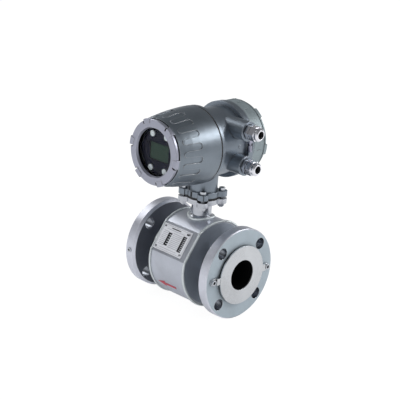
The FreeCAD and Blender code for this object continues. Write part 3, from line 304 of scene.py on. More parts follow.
class Effects:
    """The shader node groups that several finishes share, each built once."""

    nook_reach: float = 5.0 * MM
    nook_light: tuple[float, float] = (0.25, 0.75)
    edge_turn: tuple[float, float] = (0.80, 0.995)
    stroke_share: float = 0.045

    def __init__(self) -> None:
        """Start with no groups."""
        self._trees: dict[str, bpy.types.NodeTree] = {}

    def _make(self, name: str, inputs: dict[str, tuple[str, Any]],
              outputs: dict[str, str]) -> tuple[Bench, bpy.types.Node, bpy.types.Node]:
        """Start a node group.

        Args:
            name: The group's name.
            inputs: Input name to its socket kind and default value.
            outputs: Output name to its socket kind.

        Returns:
            The group's bench, its input node and its output node.
        """
        tree = bpy.data.node_groups.new(name, "ShaderNodeTree")
        for label, (kind, value) in inputs.items():
            socket = tree.interface.new_socket(name=label, in_out="INPUT", socket_type=kind)
            if value is not None:
                socket.default_value = value
        for label, kind in outputs.items():
            tree.interface.new_socket(name=label, in_out="OUTPUT", socket_type=kind)
        bench = Bench(tree)
        self._trees[name] = tree
        return bench, bench.add("NodeGroupInput"), bench.add("NodeGroupOutput")

    def _make_grain(self, name: str) -> tuple[Bench, Socket, Socket, Socket]:
        """Start a group that makes a grain.

        Args:
            name: The group's name.

        Returns:
            The group's bench, its place and scale, and the input that takes the streak.
        """
        bench, given, out = self._make(
            name, {"Vector": ("NodeSocketVector", None), "Scale": ("NodeSocketFloat", 900.0)},
            {"Streak": "NodeSocketFloat"})
        return bench, given.outputs["Vector"], given.outputs["Scale"], out.inputs["Streak"]

    def use(self, bench: Bench, name: str, **values: Any) -> bpy.types.Node:
        """Place a group in a material, building it the first time.

        Args:
            bench: The material's bench.
            name: The group's name.
            **values: The group's inputs.

        Returns:
            The group node.
        """
        makers: dict[str, Callable[[], None]] = {
            "soft_edges": self._soft_edges, "turned_grain": self._turned_grain,
            "brushed_grain": self._brushed_grain, "cast_skin": self._cast_skin,
            "handling": self._handling, "band": self._band}
        if name not in self._trees:
            makers[name]()
        node = bench.add("ShaderNodeGroup", node_tree=self._trees[name])
        return bench.feed(node, **values)

    def _soft_edges(self) -> None:
        """Rounded normals over sharp edges, a mask of those edges and a mask of narrow nooks for
        painted shade.
        """
        bench, given, out = self._make(
            "soft_edges", {"Radius": ("NodeSocketFloat", 0.4 * MM)},
            {"Normal": "NodeSocketVector", "Edge": "NodeSocketFloat",
             "Crevice": "NodeSocketFloat"})
        nook = bench.feed(bench.add("ShaderNodeAmbientOcclusion", samples=8),
                          Distance=self.nook_reach).outputs["AO"]
        bevel = bench.feed(bench.add("ShaderNodeBevel", samples=6),
                           Radius=given.outputs["Radius"]).outputs[0]
        turn = bench.add("ShaderNodeVectorMath", operation="DOT_PRODUCT")
        bench.fill(turn, {0: bevel, 1: bench.facing()})
        bench.feed(out, Normal=bevel, Crevice=bench.spread(nook, self.nook_light, (1.0, 0.0)),
                   Edge=bench.spread(turn.outputs["Value"], self.edge_turn, (1.0, 0.0)))

    def _turned_grain(self) -> None:
        """Fine circles of a lathe or a circular brush round the first axis."""
        bench, vector, scale, streak = self._make_grain("turned_grain")
        along, *across = bench.parts_of(vector)
        squares = [bench.math("MULTIPLY", part, part) for part in across]
        radius = bench.math("SQRT", bench.math("ADD", *squares))
        fine = [bench.math("MULTIPLY", part, scale) for part in (along, radius)]
        rings = bench.add("ShaderNodeTexNoise", noise_dimensions="2D")
        bench.feed(rings, Vector=bench.vector_of(*fine), Scale=1.0, Detail=3.0, Roughness=0.65)
        broken = bench.math("SUBTRACT", bench.noise(vector, 55.0, 2.0), 0.5)
        wear_and_edge_highlight = bench.math("MULTIPLY", broken, 0.35)
        bench.link(bench.math("ADD", rings.outputs[0], wear_and_edge_highlight, True), streak)

    def _brushed_grain(self) -> None:
        """Short brush strokes that lie across the first axis."""
        bench, vector, scale, streak = self._make_grain("brushed_grain")
        shares = (1.0, self.stroke_share, self.stroke_share)
        fine = [bench.math("MULTIPLY", part, bench.math("MULTIPLY", scale, share))
                for part, share in zip(bench.parts_of(vector), shares)]
        bench.link(bench.noise(bench.vector_of(*fine), 1.0, 3.0, Roughness=0.6), streak)

    def _cast_skin(self) -> None:
        """Fine orange peel of powder coat over a casting, broken up by a coarser grit."""
        bench, vector, scale, streak = self._make_grain("cast_skin")
        peel = bench.noise(vector, scale, 2.0, Roughness=0.55)
        grit = bench.add("ShaderNodeTexVoronoi", feature="SMOOTH_F1")
        bench.feed(grit, Vector=vector, Scale=bench.math("MULTIPLY", scale, 1.7))
        share = bench.math("MULTIPLY", bench.math("SUBTRACT", grit.outputs[0], 0.4), 0.5)
        bench.link(bench.math("ADD", peel, share, True), streak)

    def _handling(self) -> None:
        """Slow cloudy change from handling and wiping, from 0 to 1 about a half."""
        bench, given, out = self._make(
            "handling", {"Vector": ("NodeSocketVector", None)}, {"Cloud": "NodeSocketFloat"})
        cloud = bench.noise(given.outputs["Vector"], 32.0, 4.0, Roughness=0.6, Distortion=0.4)
        bench.link(bench.spread(cloud, (0.32, 0.68)), out.inputs["Cloud"])

    def _band(self) -> None:
        """A mask of what lies between two places along an axis."""
        kind = "NodeSocketFloat"
        bench, given, out = self._make(
            "band", {"Along": (kind, 0.0), "Low": (kind, 0.0), "High": (kind, 1.0)},
            {"Mask": kind})
        past_low = bench.math("GREATER_THAN", given.outputs["Along"], given.outputs["Low"])
        before_high = bench.math("LESS_THAN", given.outputs["Along"], given.outputs["High"])
        bench.link(bench.math("MULTIPLY", past_low, before_high), out.inputs["Mask"])


class Grain(Enum):
    """Which surface effect a finish carries."""

    TURNED = "turned_grain"
    BRUSHED = "brushed_grain"
    CAST = "cast_skin"


class Axis(Enum):
    """The axis that grain or a zone runs along, as the order in which its parts are read."""

    X = (0, 1, 2)
    Y = (1, 0, 2)
    Z = (2, 0, 1)


@dataclass(frozen=True)
class Zone:
    """Part of a piece whose surface differs in colour, share of metal or roughness."""

    colour: Colour
    metallic: float = 0.0
    rougher: float = 0.0

    def mask(self, bench: Bench, effects: Effects) -> Socket:
        """Build the zone's mask.

        Args:
            bench: The material's bench.
            effects: The shared node groups.

        Returns:
            A socket that is 1 within the zone and 0 elsewhere.
        """
        raise NotImplementedError


@dataclass(frozen=True)
class Band(Zone):
    """A zone between two places along an axis."""

    axis: Axis = Axis.Y
    low: float = -EVERYWHERE
    high: float = EVERYWHERE

    def mask(self, bench: Bench, effects: Effects) -> Socket:
        """Mask what lies between the two places.

        Args:
            bench: The material's bench.
            effects: The shared node groups.

        Returns:
            The mask's socket.
        """
        along = bench.parts_of(bench.here())[self.axis.value[0]]
        return effects.use(bench, "band", Along=along, Low=self.low,
                           High=self.high).outputs["Mask"]


@dataclass(frozen=True)
class FlangeFace(Zone):
    """The flat faces that look along the pipe, between two distances from its middle."""

    low: float = 0.0
    high: float = EVERYWHERE
    squareness: float = 0.97

    def mask(self, bench: Bench, effects: Effects) -> Socket:
        """Mask the faces at both ends of the pipe alike.

        Args:
            bench: The material's bench.
            effects: The shared node groups.

        Returns:
            The mask's socket.
        """
        along = bench.math("ABSOLUTE", bench.parts_of(bench.here())[0])
        inside = effects.use(bench, "band", Along=along, Low=self.low,
                             High=self.high).outputs["Mask"]
        way = bench.math("ABSOLUTE", bench.parts_of(bench.facing())[0])
        return bench.math("MULTIPLY", inside, bench.math("GREATER_THAN", way, self.squareness))


@dataclass(frozen=True)
class BoltHoles(Zone):
    """The walls of the four bolt holes in a flange."""

    centre: float = 42.67 * MM
    radius: float = 9.7 * MM
    slant: float = 0.5

    def mask(self, bench: Bench, effects: Effects) -> Socket:
        """Mask what lies within a hole's radius of its axis and does not face along X.

        Args:
            bench: The material's bench.
            effects: The shared node groups.

        Returns:
            The mask's socket.
        """
        squares = []
        for part in bench.parts_of(bench.here())[1:]:
            off = bench.math("SUBTRACT", bench.math("ABSOLUTE", part), self.centre)
            squares.append(bench.math("MULTIPLY", off, off))
        near = bench.math("LESS_THAN", bench.math("ADD", *squares), self.radius ** 2)
        way = bench.math("ABSOLUTE", bench.parts_of(bench.facing())[0])
        return bench.math("MULTIPLY", near, bench.math("LESS_THAN", way, self.slant))


@dataclass(frozen=True)
class Finish:
    """A metal, paint, plastic or rubber finish with its own grain, tone, edges and zones."""

    name: str
    colour: Colour
    metallic: float = 0.0
    roughness: float = 0.4
    coat: float = 0.0
    grain: Grain = Grain.CAST
    axis: Axis = Axis.X
    centre: Triple = (0.0, 0.0, 0.0)
    scale: float = 900.0
    relief: float = 0.03 * MM
    gloss_change: float = 0.12
    tone_change: float = 0.08
    cloud: float = 0.08
    # How far sharp edges are lightened: partly edge wear, partly a painted highlight.
    edge_light: float = 0.35
    edge_radius: float = 0.4 * MM
    # How far narrow nooks are darkened towards near-black: painted shade.
    nook_shade: float = 0.75
    specular: float = 0.5
    zones: tuple[Zone, ...] = ()

    def material(self, effects: Effects) -> bpy.types.Material:
        """Build the finish's material.

        Args:
            effects: The shared node groups.

        Returns:
            The material.
        """
        material, bench, shader = new_material(self.name)
        place = self._place(bench)
        grain = effects.use(bench, self.grain.value, Vector=place, Scale=self.scale)
        cloud = effects.use(bench, "handling", Vector=place).outputs["Cloud"]
        edges = effects.use(bench, "soft_edges", Radius=self.edge_radius)
        streak = grain.outputs["Streak"]
        masks = [zone.mask(bench, effects) for zone in self.zones]
        toned = bench.blend(1.0, self._base(bench, masks), self._tone(bench, streak, cloud),
                            "MULTIPLY")
        # Sharp edges lightened towards white: partly edge wear, partly a painted highlight.
        bright = tuple(min(1.0, part + self.edge_light * (1 - part)) for part in self.colour)
        wear_and_edge_highlight = bench.blend(bench.math("MULTIPLY", edges.outputs["Edge"], 0.8), toned, bright)
        # Narrow nooks darkened towards near-black: painted shade.
        nook_darkening = bench.math("MULTIPLY", edges.outputs["Crevice"], self.nook_shade)
        bump = bench.feed(bench.add("ShaderNodeBump"), Strength=0.8, Distance=self.relief,
                          Height=streak, Normal=edges.outputs["Normal"])
        bench.feed(shader, Base_Color=bench.blend(nook_darkening, wear_and_edge_highlight, NOOK_SHADE),
                   Roughness=self._gloss(bench, streak, cloud, masks),
                   Metallic=self._metal(bench, masks), Specular_IOR_Level=self.specular,
                   Coat_Weight=self.coat, Coat_Roughness=0.12, Normal=bump.outputs[0])
        return material

    def _place(self, bench: Bench) -> Socket:
        """Object coordinates about the finish's centre, with its axis first.

        Args:
            bench: The material's bench.

        Returns:
            The coordinates' socket.
        """
        moved = bench.add("ShaderNodeMapping")
        bench.feed(moved, Vector=bench.here(), Location=[-part for part in self.centre])
        parts = bench.parts_of(moved.outputs[0])
        return bench.vector_of(*(parts[source] for source in self.axis.value))

    def _base(self, bench: Bench, masks: list[Socket]) -> Any:
        """The colour before tone and edges, with each zone's laid over the finish's own.

        Args:
            bench: The material's bench.
            masks: The zones' masks, in the order of the zones.

        Returns:
            A linear colour, or the colour's socket.
        """
        colour: Any = self.colour
        for zone, mask in zip(self.zones, masks):
            colour = bench.blend(mask, colour, zone.colour)
        return colour

    def _tone(self, bench: Bench, streak: Socket, cloud: Socket) -> Socket:
        """Light and dark of the grain and of handling, as a grey about 1.

        Args:
            bench: The material's bench.
            streak: The grain.
            cloud: The wear from handling.

        Returns:
            The grey's socket.
        """
        fine = bench.spread(streak, (0.25, 0.75), (1 - self.tone_change, 1 + self.tone_change))
        slow = bench.spread(cloud, (0.0, 1.0), (1 - self.cloud, 1 + self.cloud * 0.5))
        return bench.math("MULTIPLY", fine, slow)

    def _gloss(self, bench: Bench, streak: Socket, cloud: Socket, masks: list[Socket]) -> Socket:
        """Roughness, which changes with the grain, with handling and with each zone.

        Args:
            bench: The material's bench.
            streak: The grain.
            cloud: The wear from handling.
            masks: The zones' masks, in the order of the zones.

        Returns:
            The roughness's socket.
        """
        change = bench.math("MULTIPLY", bench.math("SUBTRACT", streak, 0.5), self.gloss_change)
        wiped = bench.math("MULTIPLY", bench.math("SUBTRACT", cloud, 0.5), self.gloss_change * 0.8)
        rough = bench.math("ADD", self.roughness, bench.math("ADD", change, wiped), True)
        for zone, mask in zip(self.zones, masks):
            rough = bench.math("ADD", rough, bench.math("MULTIPLY", mask, zone.rougher), True)
        return rough

    def _metal(self, bench: Bench, masks: list[Socket]) -> Any:
        """Share of metal, which can change from zone to zone.

        Args:
            bench: The material's bench.
            masks: The zones' masks, in the order of the zones.

        Returns:
            A number, or the share's socket where the finish has zones.
        """
        metal: Any = self.metallic
        for zone, mask in zip(self.zones, masks):
            metal = bench.between(mask, metal, zone.metallic)
        return metal


@dataclass(frozen=True)
class ScreenFinish(Finish):
    """Unlit liquid-crystal screen with the faint grid of its cells."""

    cell: float = 1.1 * MM
    line_share: float = 0.06

    def _base(self, bench: Bench, masks: list[Socket]) -> Socket:
        """Screen green with fine darker lines between the cells.

        Args:
            bench: The material's bench.
            masks: The zones' masks, in the order of the zones.

        Returns:
            The colour's socket.
        """
        x, _, z = bench.parts_of(bench.here())
        lines = [bench.math("LESS_THAN", bench.math("PINGPONG", part, self.cell / 2),
                            self.cell * self.line_share) for part in (x, z)]
        dark = tuple(part * 0.8 for part in self.colour)
        return bench.blend(bench.math("MAXIMUM", *lines), self.colour, dark)


@dataclass(frozen=True)
class WindowFinish:
    """Clear toughened glass, a little hazed here and there by wiping."""

    name: str
    colour: Colour = (0.93, 0.96, 0.97)
    ior: float = 1.14
    specular: float = 0.1
    haze: float = 0.012

    def material(self, effects: Effects) -> bpy.types.Material:
        """Build the glass.

        Args:
            effects: The shared node groups.

        Returns:
            The material.
        """
        material, bench, shader = new_material(self.name)
        cloud = effects.use(bench, "handling", Vector=bench.here()).outputs["Cloud"]
        bench.feed(shader, Transmission_Weight=1.0, IOR=self.ior, Metallic=0.0,
                   Base_Color=self.colour, Specular_IOR_Level=self.specular,
                   Roughness=bench.spread(cloud, (0.0, 1.0), (0.0, self.haze)))
        return material


# --- modelling by operators --------------------------------------------------------------------
def clear_selection() -> None:
    """Leave nothing selected."""
    bpy.ops.object.select_all(action="DESELECT")


def pick(*pieces: bpy.types.Object) -> None:
    """Select these pieces alone, the first of them active.

    Args:
        *pieces: The pieces, at least one.
    """
    clear_selection()
    for piece in pieces:
        piece.select_set(True)
    bpy.context.view_layer.objects.active = pieces[0]


def settle(piece: bpy.types.Object) -> None:
    """Move a piece's place, turn and size into its mesh."""
    pick(piece)
    bpy.ops.object.transform_apply(location=True, rotation=True, scale=True)


def rename(piece: bpy.types.Object, name: str) -> None:
    """Give a piece and its mesh one name."""
    piece.name = name
    piece.data.name = name


def join(pieces: list[bpy.types.Object], name: str) -> bpy.types.Object:
    """Join pieces into one settled mesh.

    Args:
        pieces: The meshes to join, at least one.
        name: The name of the result.

    Returns:
        The joined piece.
    """
    pick(*pieces)
    bpy.ops.object.join()
    whole = bpy.context.object
    rename(whole, name)
    settle(whole)
    return whole


def open_mesh() -> None:
    """Start editing the active piece, with all of its mesh selected."""
    bpy.ops.object.mode_set(mode="EDIT")
    bpy.ops.mesh.select_all(action="SELECT")


def close_mesh() -> None:
    """Turn every face of the active piece outwards and stop editing."""
    bpy.ops.mesh.select_all(action="SELECT")
    bpy.ops.mesh.normals_make_consistent(inside=False)
    bpy.ops.object.mode_set(mode="OBJECT")


def copy_at(piece: bpy.types.Object, place: Matrix) -> bpy.types.Object:
    """Copy a piece with its own mesh and put the copy in place.

    Args:
        piece: The modelled piece.
        place: Where the copy goes.

    Returns:
        The copy.
    """
    twin = piece.copy()
    twin.data = piece.data.copy()
    bpy.context.scene.collection.objects.link(twin)
    twin.matrix_world = place
    return twin


def frame_of(at: Vector, along: Vector, outward: Vector) -> Matrix:
    """A place whose X runs along a path and whose Z points outwards.

    Args:
        at: The point.
        along: The path's direction there.
        outward: Roughly away from the surface.

    Returns:
        The placing matrix.
    """
    x = along.normalized()
    y = outward.cross(x).normalized()
    return Matrix.Translation(at) @ Matrix((x, y, x.cross(y))).transposed().to_4x4()


def smooth(piece: bpy.types.Object, angle: float) -> None:
    """Shade a piece smooth, apart from edges sharper than an angle in degrees."""
    pick(piece)
    bpy.ops.object.shade_smooth_by_angle(angle=math.radians(angle))


def wear(piece: bpy.types.Object, material: bpy.types.Material) -> None:
    """Give a piece one material."""
    piece.data.materials.clear()
    piece.data.materials.append(material)


@dataclass
class Pieces:
    """What every class that builds pieces shares."""

    finishes: dict[str, bpy.types.Material]

    def finish_off(self, piece: bpy.types.Object, finish: str, slot: str,
                   replaces: Iterable[str] = ()) -> None:
        """Dress a piece, tie it to the meter's body and report it.

        Args:
            piece: The settled piece.
            finish: Name of its finish.
            slot: Name of the record's material slot for it; not used.
            replaces: CAD nodes that it stands for.
        """
        wear(piece, self.finishes[finish])
        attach(piece, METER_BODY)
        for node in replaces:
            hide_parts(node)
        LOG.info("%s: %d faces on %s", piece.name, len(piece.data.polygons), METER_BODY)


@dataclass
class WeldSeams(Pieces):
    """Rippled weld beads: round the jacket's ends, the neck's foot and the flanges' hubs."""

    jacket_r: float = 71.2 * MM
    flat_distance: float = 66.0 * MM
    jacket_x: float = 38.8 * MM
    jacket_lean: float = 0.6
    hub_r: float = 30.85 * MM
    hub_x: float = 73.4 * MM
    foot_r: float = 20.1 * MM
    foot_drum_r: float = 71.0 * MM
    foot_lift: float = 0.9 * MM
    foot_lean: float = 0.9
    step: float = 1.9 * MM
    seam_ripple: Triple = (3.6 * MM, 4.8 * MM, 1.9 * MM)
    foot_ripple: Triple = (4.8 * MM, 5.6 * MM, 2.9 * MM)
    sunk_share: float = 0.45
    tilt: float = math.radians(-16.0)
    smooth_angle: float = 60.0

    def ripple(self, length: float, width: float, height: float) -> bpy.types.Object:
        """Model one ripple of weld metal: a low lens with a flat underside.

        Args:
            length: Its size along the seam.
            width: Its size across the seam.
            height: How far it stands up.

        Returns:
            The ripple, at the origin.
        """
        clear_selection()
        bpy.ops.mesh.primitive_uv_sphere_add(segments=10, ring_count=6, radius=0.5)
        lens = bpy.context.object
        lens.scale = (length, width, height * 2)
        settle(lens)
        open_mesh()
        bpy.ops.mesh.bisect(plane_co=(0, 0, -height * self.sunk_share), plane_no=(0, 0, 1),
                            use_fill=True, clear_inner=True)
        bpy.ops.object.mode_set(mode="OBJECT")
        return lens

    def lay(self, name: str, path: Path, size: Triple, replaces: Iterable[str] = ()) -> None:
        """Lay ripples along a closed path and finish the seam.

        Args:
            name: The seam's name.
            path: Points of the closed path, each with its outward direction.
            size: Length, width and height of a ripple.
            replaces: CAD nodes that the seam stands for.
        """
        model = self.ripple(*size)
        leaned = Matrix.Rotation(self.tilt, 4, "Y")
        copies = []
        for k, (at, outward) in enumerate(path):
            along = path[(k + 1) % len(path)][0] - path[k - 1][0]
            copies.append(copy_at(model, frame_of(at, along, outward) @ leaned))
        bpy.data.objects.remove(model)
        seam = join(copies, name)
        smooth(seam, self.smooth_angle)
        self.finish_off(seam, "weld", "weld_steel", replaces)

    def arc(self, spot: Callable[[float, float], tuple[Vector, Vector]], radius: float,
            start: float = 0.0, reach: float = 2 * math.pi) -> Path:
        """Even steps along an arc.

        Args:
            spot: Gives the point and its outward direction for an angle's cosine and sine.
            radius: The arc's radius.
            start: The angle at which it starts.
            reach: The angle that it runs through.

        Returns:
            The points and their outward directions.
        """
        steps = round(radius * reach / self.step)
        angles = (start + reach * k / steps for k in range(steps))
        return [spot(math.cos(angle), math.sin(angle)) for angle in angles]

    def jacket_path(self, side: int) -> Path:
        """Even steps round one end of the jacket, which has one flat.

        Args:
            side: 1 for the inlet's end and -1 for the outlet's.

        Returns:
            The points and their outward directions.
        """
        at, lean = (Vector((side * size, 0, 0)) for size in (self.jacket_x, self.jacket_lean))
        half = math.acos(self.flat_distance / self.jacket_r)
        middle = math.pi - FLAT_SLOPE

        def on_drum(cos: float, sin: float) -> tuple[Vector, Vector]:
            """A point of the round part.

            Args:
                cos: Cosine of the angle.
                sin: Sine of the angle.

            Returns:
                The point and its outward direction.
            """
            away = Vector((0, cos, sin))
            return away * self.jacket_r + at, away + lean

        round_part = self.arc(on_drum, self.jacket_r, middle + half, 2 * (math.pi - half))
        normal = Vector((0, math.cos(middle), math.sin(middle)))
        along = Vector((0, -math.sin(middle), math.cos(middle)))
        reach = self.jacket_r * math.sin(half)
        steps = round(2 * reach / self.step)
        slides = (2 * reach * k / steps - reach for k in range(steps))
        return round_part + [(normal * self.flat_distance + along * slide + at, normal + lean)
                             for slide in slides]

    def hub_path(self, side: int) -> Path:
        """Even steps round a flange's hub.

        Args:
            side: 1 for the inlet's flange and -1 for the outlet's.

        Returns:
            The points and their outward directions.
        """
        at = Vector((side * self.hub_x, 0, 0))
        return self.arc(lambda cos, sin: (Vector((0, cos, sin)) * self.hub_r + at,
                                          Vector((-side, cos, sin))), self.hub_r)

    def foot_path(self) -> Path:
        """Even steps round the neck's foot, which dips over the drum.

        Returns:
            The points and their outward directions.
        """
        def on_foot(cos: float, sin: float) -> tuple[Vector, Vector]:
            """A point where the foot meets the drum.

            Args:
                cos: Cosine of the angle.
                sin: Sine of the angle.

            Returns:
                The point and its outward direction.
            """
            x, y = self.foot_r * cos, self.foot_r * sin
            z = math.sqrt(self.foot_drum_r ** 2 - y ** 2) + self.foot_lift
            return Vector((x, y, z)), Vector((cos, sin, self.foot_lean))

        return self.arc(on_foot, self.foot_r)

    def build(self) -> None:
        """Lay every seam."""
        for side, word in ((1, "inlet"), (-1, "outlet")):
            self.lay("jacket_seam_" + word, self.jacket_path(side), self.seam_ripple,
                     ["weld_beads"] if side > 0 else [])
            self.lay("hub_seam_" + word, self.hub_path(side), self.seam_ripple)
        self.lay("neck_seam", self.foot_path(), self.foot_ripple)


@dataclass
class PlatePrint(Pieces):
    """Plain printed fields on the nameplate: a border, ruled rows and two filled columns.

    A field is the start and end along the plate and the top and bottom across it, each a share
    of the plate's size.
    """

    centre_x: float = -5.0 * MM
    height: float = 66.8 * MM
    length: float = 63.5 * MM
    width: float = 45.0 * MM
    lift: float = 0.06 * MM
    inset: tuple[float, float] = (0.028, 0.04)
    line: tuple[float, float] = (0.006, 0.008)
    columns: tuple[tuple[Field, int], ...] = (((0.27, 0.39, 0.28, 0.80), 6),
                                              ((0.77, 0.90, 0.22, 0.84), 9))
    cell_share: float = 0.74
    spine: float = 0.05
    headings: tuple[Field, ...] = ((0.30, 0.62, 0.09, 0.125), (0.84, 0.92, 0.085, 0.15))
    ruled: tuple[tuple[float, float], ...] = ((0.08, 0.27), (0.42, 0.76))
    rows: int = 9
    first_row: float = 0.26
    row_pitch: float = 0.065
    row_line: float = 0.012
    long_rules: tuple[Field, ...] = ((0.16, 0.78, 0.88, 0.89), (0.16, 0.78, 0.17, 0.18))

    def place(self, u: float, v: float) -> Matrix:
        """Where a field goes.

        Args:
            u: Share of the plate's length, from its -X end.
            v: Share of its width, from its top.

        Returns:
            The placing matrix, with X along the plate and Z out of it.
        """
        outward = Vector((0, -math.cos(FLAT_SLOPE), math.sin(FLAT_SLOPE)))
        along = Vector((1, 0, 0))
        up = outward.cross(along)
        at = (outward * self.height + along * (self.centre_x + (u - 0.5) * self.length)
              + up * ((0.5 - v) * self.width))
        return frame_of(at, along, outward)

    def slip(self, field_at: Field) -> bpy.types.Object:
        """Model one printed field as a thin slip of ink.

        Args:
            field_at: The field.

        Returns:
            The slip, in place.
        """
        u0, u1, v0, v1 = field_at
        clear_selection()
        bpy.ops.mesh.primitive_plane_add(size=1.0)
        slip = bpy.context.object
        slip.scale = ((u1 - u0) * self.length, (v1 - v0) * self.width, 1.0)
        settle(slip)
        open_mesh()
        bpy.ops.mesh.extrude_region_move(TRANSFORM_OT_translate={"value": (0, 0, self.lift)})
        close_mesh()
        slip.matrix_world = self.place((u0 + u1) / 2, (v0 + v1) / 2)
        settle(slip)
        return slip

    def border(self) -> list[Field]:
        """Four thin lines just inside the plate's edge.

        Returns:
            Their fields.
        """
        (u, v), (du, dv) = self.inset, self.line
        return [(u, 1 - u, v, v + dv), (u, 1 - u, 1 - v - dv, 1 - v),
                (u, u + du, v, 1 - v), (1 - u - du, 1 - u, v, 1 - v)]

    def cells(self) -> list[Field]:
        """Two columns of dark cells that hang together along one side.

        Returns:
            Their fields.
        """
        found: list[Field] = []
        for (u0, u1, v0, v1), count in self.columns:
            pitch = (v1 - v0) / count
            found += [(u0, u1, v0 + pitch * k, v0 + pitch * (k + self.cell_share))
                      for k in range(count)]
            found.append((u0, u0 + self.spine, v0, v1 - pitch * (1 - self.cell_share)))
        return found

    def rules(self) -> list[Field]:
        """Fine ruled lines beside the columns, for a user's own entries.

        Returns:
            Their fields.
        """
        tops = [self.first_row + self.row_pitch * k for k in range(self.rows)]
        return [(u0, u1, top, top + self.row_line) for u0, u1 in self.ruled for top in tops]

    def build(self) -> None:
        """Print the plate."""
        for name, fields, ink, slot in (
                ("nameplate_cells", [*self.cells(), *self.headings], "ink", "retainer_paint"),
                ("nameplate_lines", [*self.border(), *self.rules(), *self.long_rules],
                 "grey_ink", "nameplate_metal")):
            self.finish_off(join([self.slip(at) for at in fields], name), ink, slot)


@dataclass
class Threads(Pieces):
    """Helical ridges on the housing's spigots and on the gland bodies.

    A thread's size is the radius of its cylinder, the advance of one turn and its length.
    """

    cover_thread: Triple = (54.5 * MM, 2.0 * MM, 16.0 * MM)
    gland_thread: Triple = (8.5 * MM, 1.5 * MM, 6.4 * MM)
    ridge: float = 0.28 * MM
    root: float = 0.05 * MM
    flank_share: float = 0.40
    steps_per_turn: int = 56
    front_start: float = -29.0 * MM
    rear_start: float = 46.0 * MM
    gland_inset: float = 0.6 * MM
    smooth_angle: float = 40.0

    def helix(self, name: str, size: Triple, origin: Triple, way: Triple) -> bpy.types.Object:
        """Model one thread with the Screw modifier.

        Args:
            name: The thread's name.
            size: Its radius, advance and length.
            origin: Where it starts, on its axis.
            way: The unit direction in which it runs.

        Returns:
            The settled thread.
        """
        radius, pitch, length = size
        clear_selection()
        bpy.ops.mesh.primitive_circle_add(vertices=3, radius=1.0, fill_type="NOTHING",
                                          rotation=(math.pi / 2, 0, 0))
        thread = bpy.context.object
        settle(thread)
        corners = ((radius - self.root, pitch * self.flank_share), (radius + self.ridge, 0.0),
                   (radius - self.root, -pitch * self.flank_share))
        for vertex, (out, up) in zip(thread.data.vertices, corners):
            vertex.co = (out, 0, up)
        turns = (length - pitch) / pitch
        screw = thread.modifiers.new("thread", "SCREW")
        screw.axis = "Z"
        screw.angle = 2 * math.pi * turns
        screw.screw_offset = pitch * turns
        screw.steps = screw.render_steps = round(self.steps_per_turn * turns)
        screw.use_merge_vertices = False
        bpy.ops.object.modifier_apply(modifier="thread")
        bpy.ops.object.mode_set(mode="EDIT")
        bpy.ops.mesh.select_all(action="DESELECT")
        bpy.ops.mesh.select_non_manifold()
        bpy.ops.mesh.edge_face_add()
        close_mesh()
        turn = Vector((0, 0, 1)).rotation_difference(Vector(way)).to_matrix().to_4x4()
        start = Vector(origin) + Vector(way) * pitch * 0.5
        thread.matrix_world = Matrix.Translation(start) @ turn
        settle(thread)
        rename(thread, name)
        smooth(thread, self.smooth_angle)
        return thread

    def build(self) -> None:
        """Cut every thread that a loosened cover or nut would show."""
        low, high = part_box("window_glass")
        height = (low.z + high.z) / 2
        for name, start, way in (("front_spigot_thread", self.front_start, -1.0),
                                 ("rear_spigot_thread", self.rear_start, 1.0)):
            thread = self.helix(name, self.cover_thread, (0.0, start, height), (0.0, way, 0.0))
            self.finish_off(thread, "spigot", "housing_paint")
        for word in ("upper", "lower"):
            low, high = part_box("gland_nut_" + word)
            origin = (low.x + self.gland_inset, (low.y + high.y) / 2, (low.z + high.z) / 2)
            thread = self.helix(f"gland_{word}_thread", self.gland_thread, origin,
                                (1.0, 0.0, 0.0))
            self.finish_off(thread, "nickel", "gland_nickel")


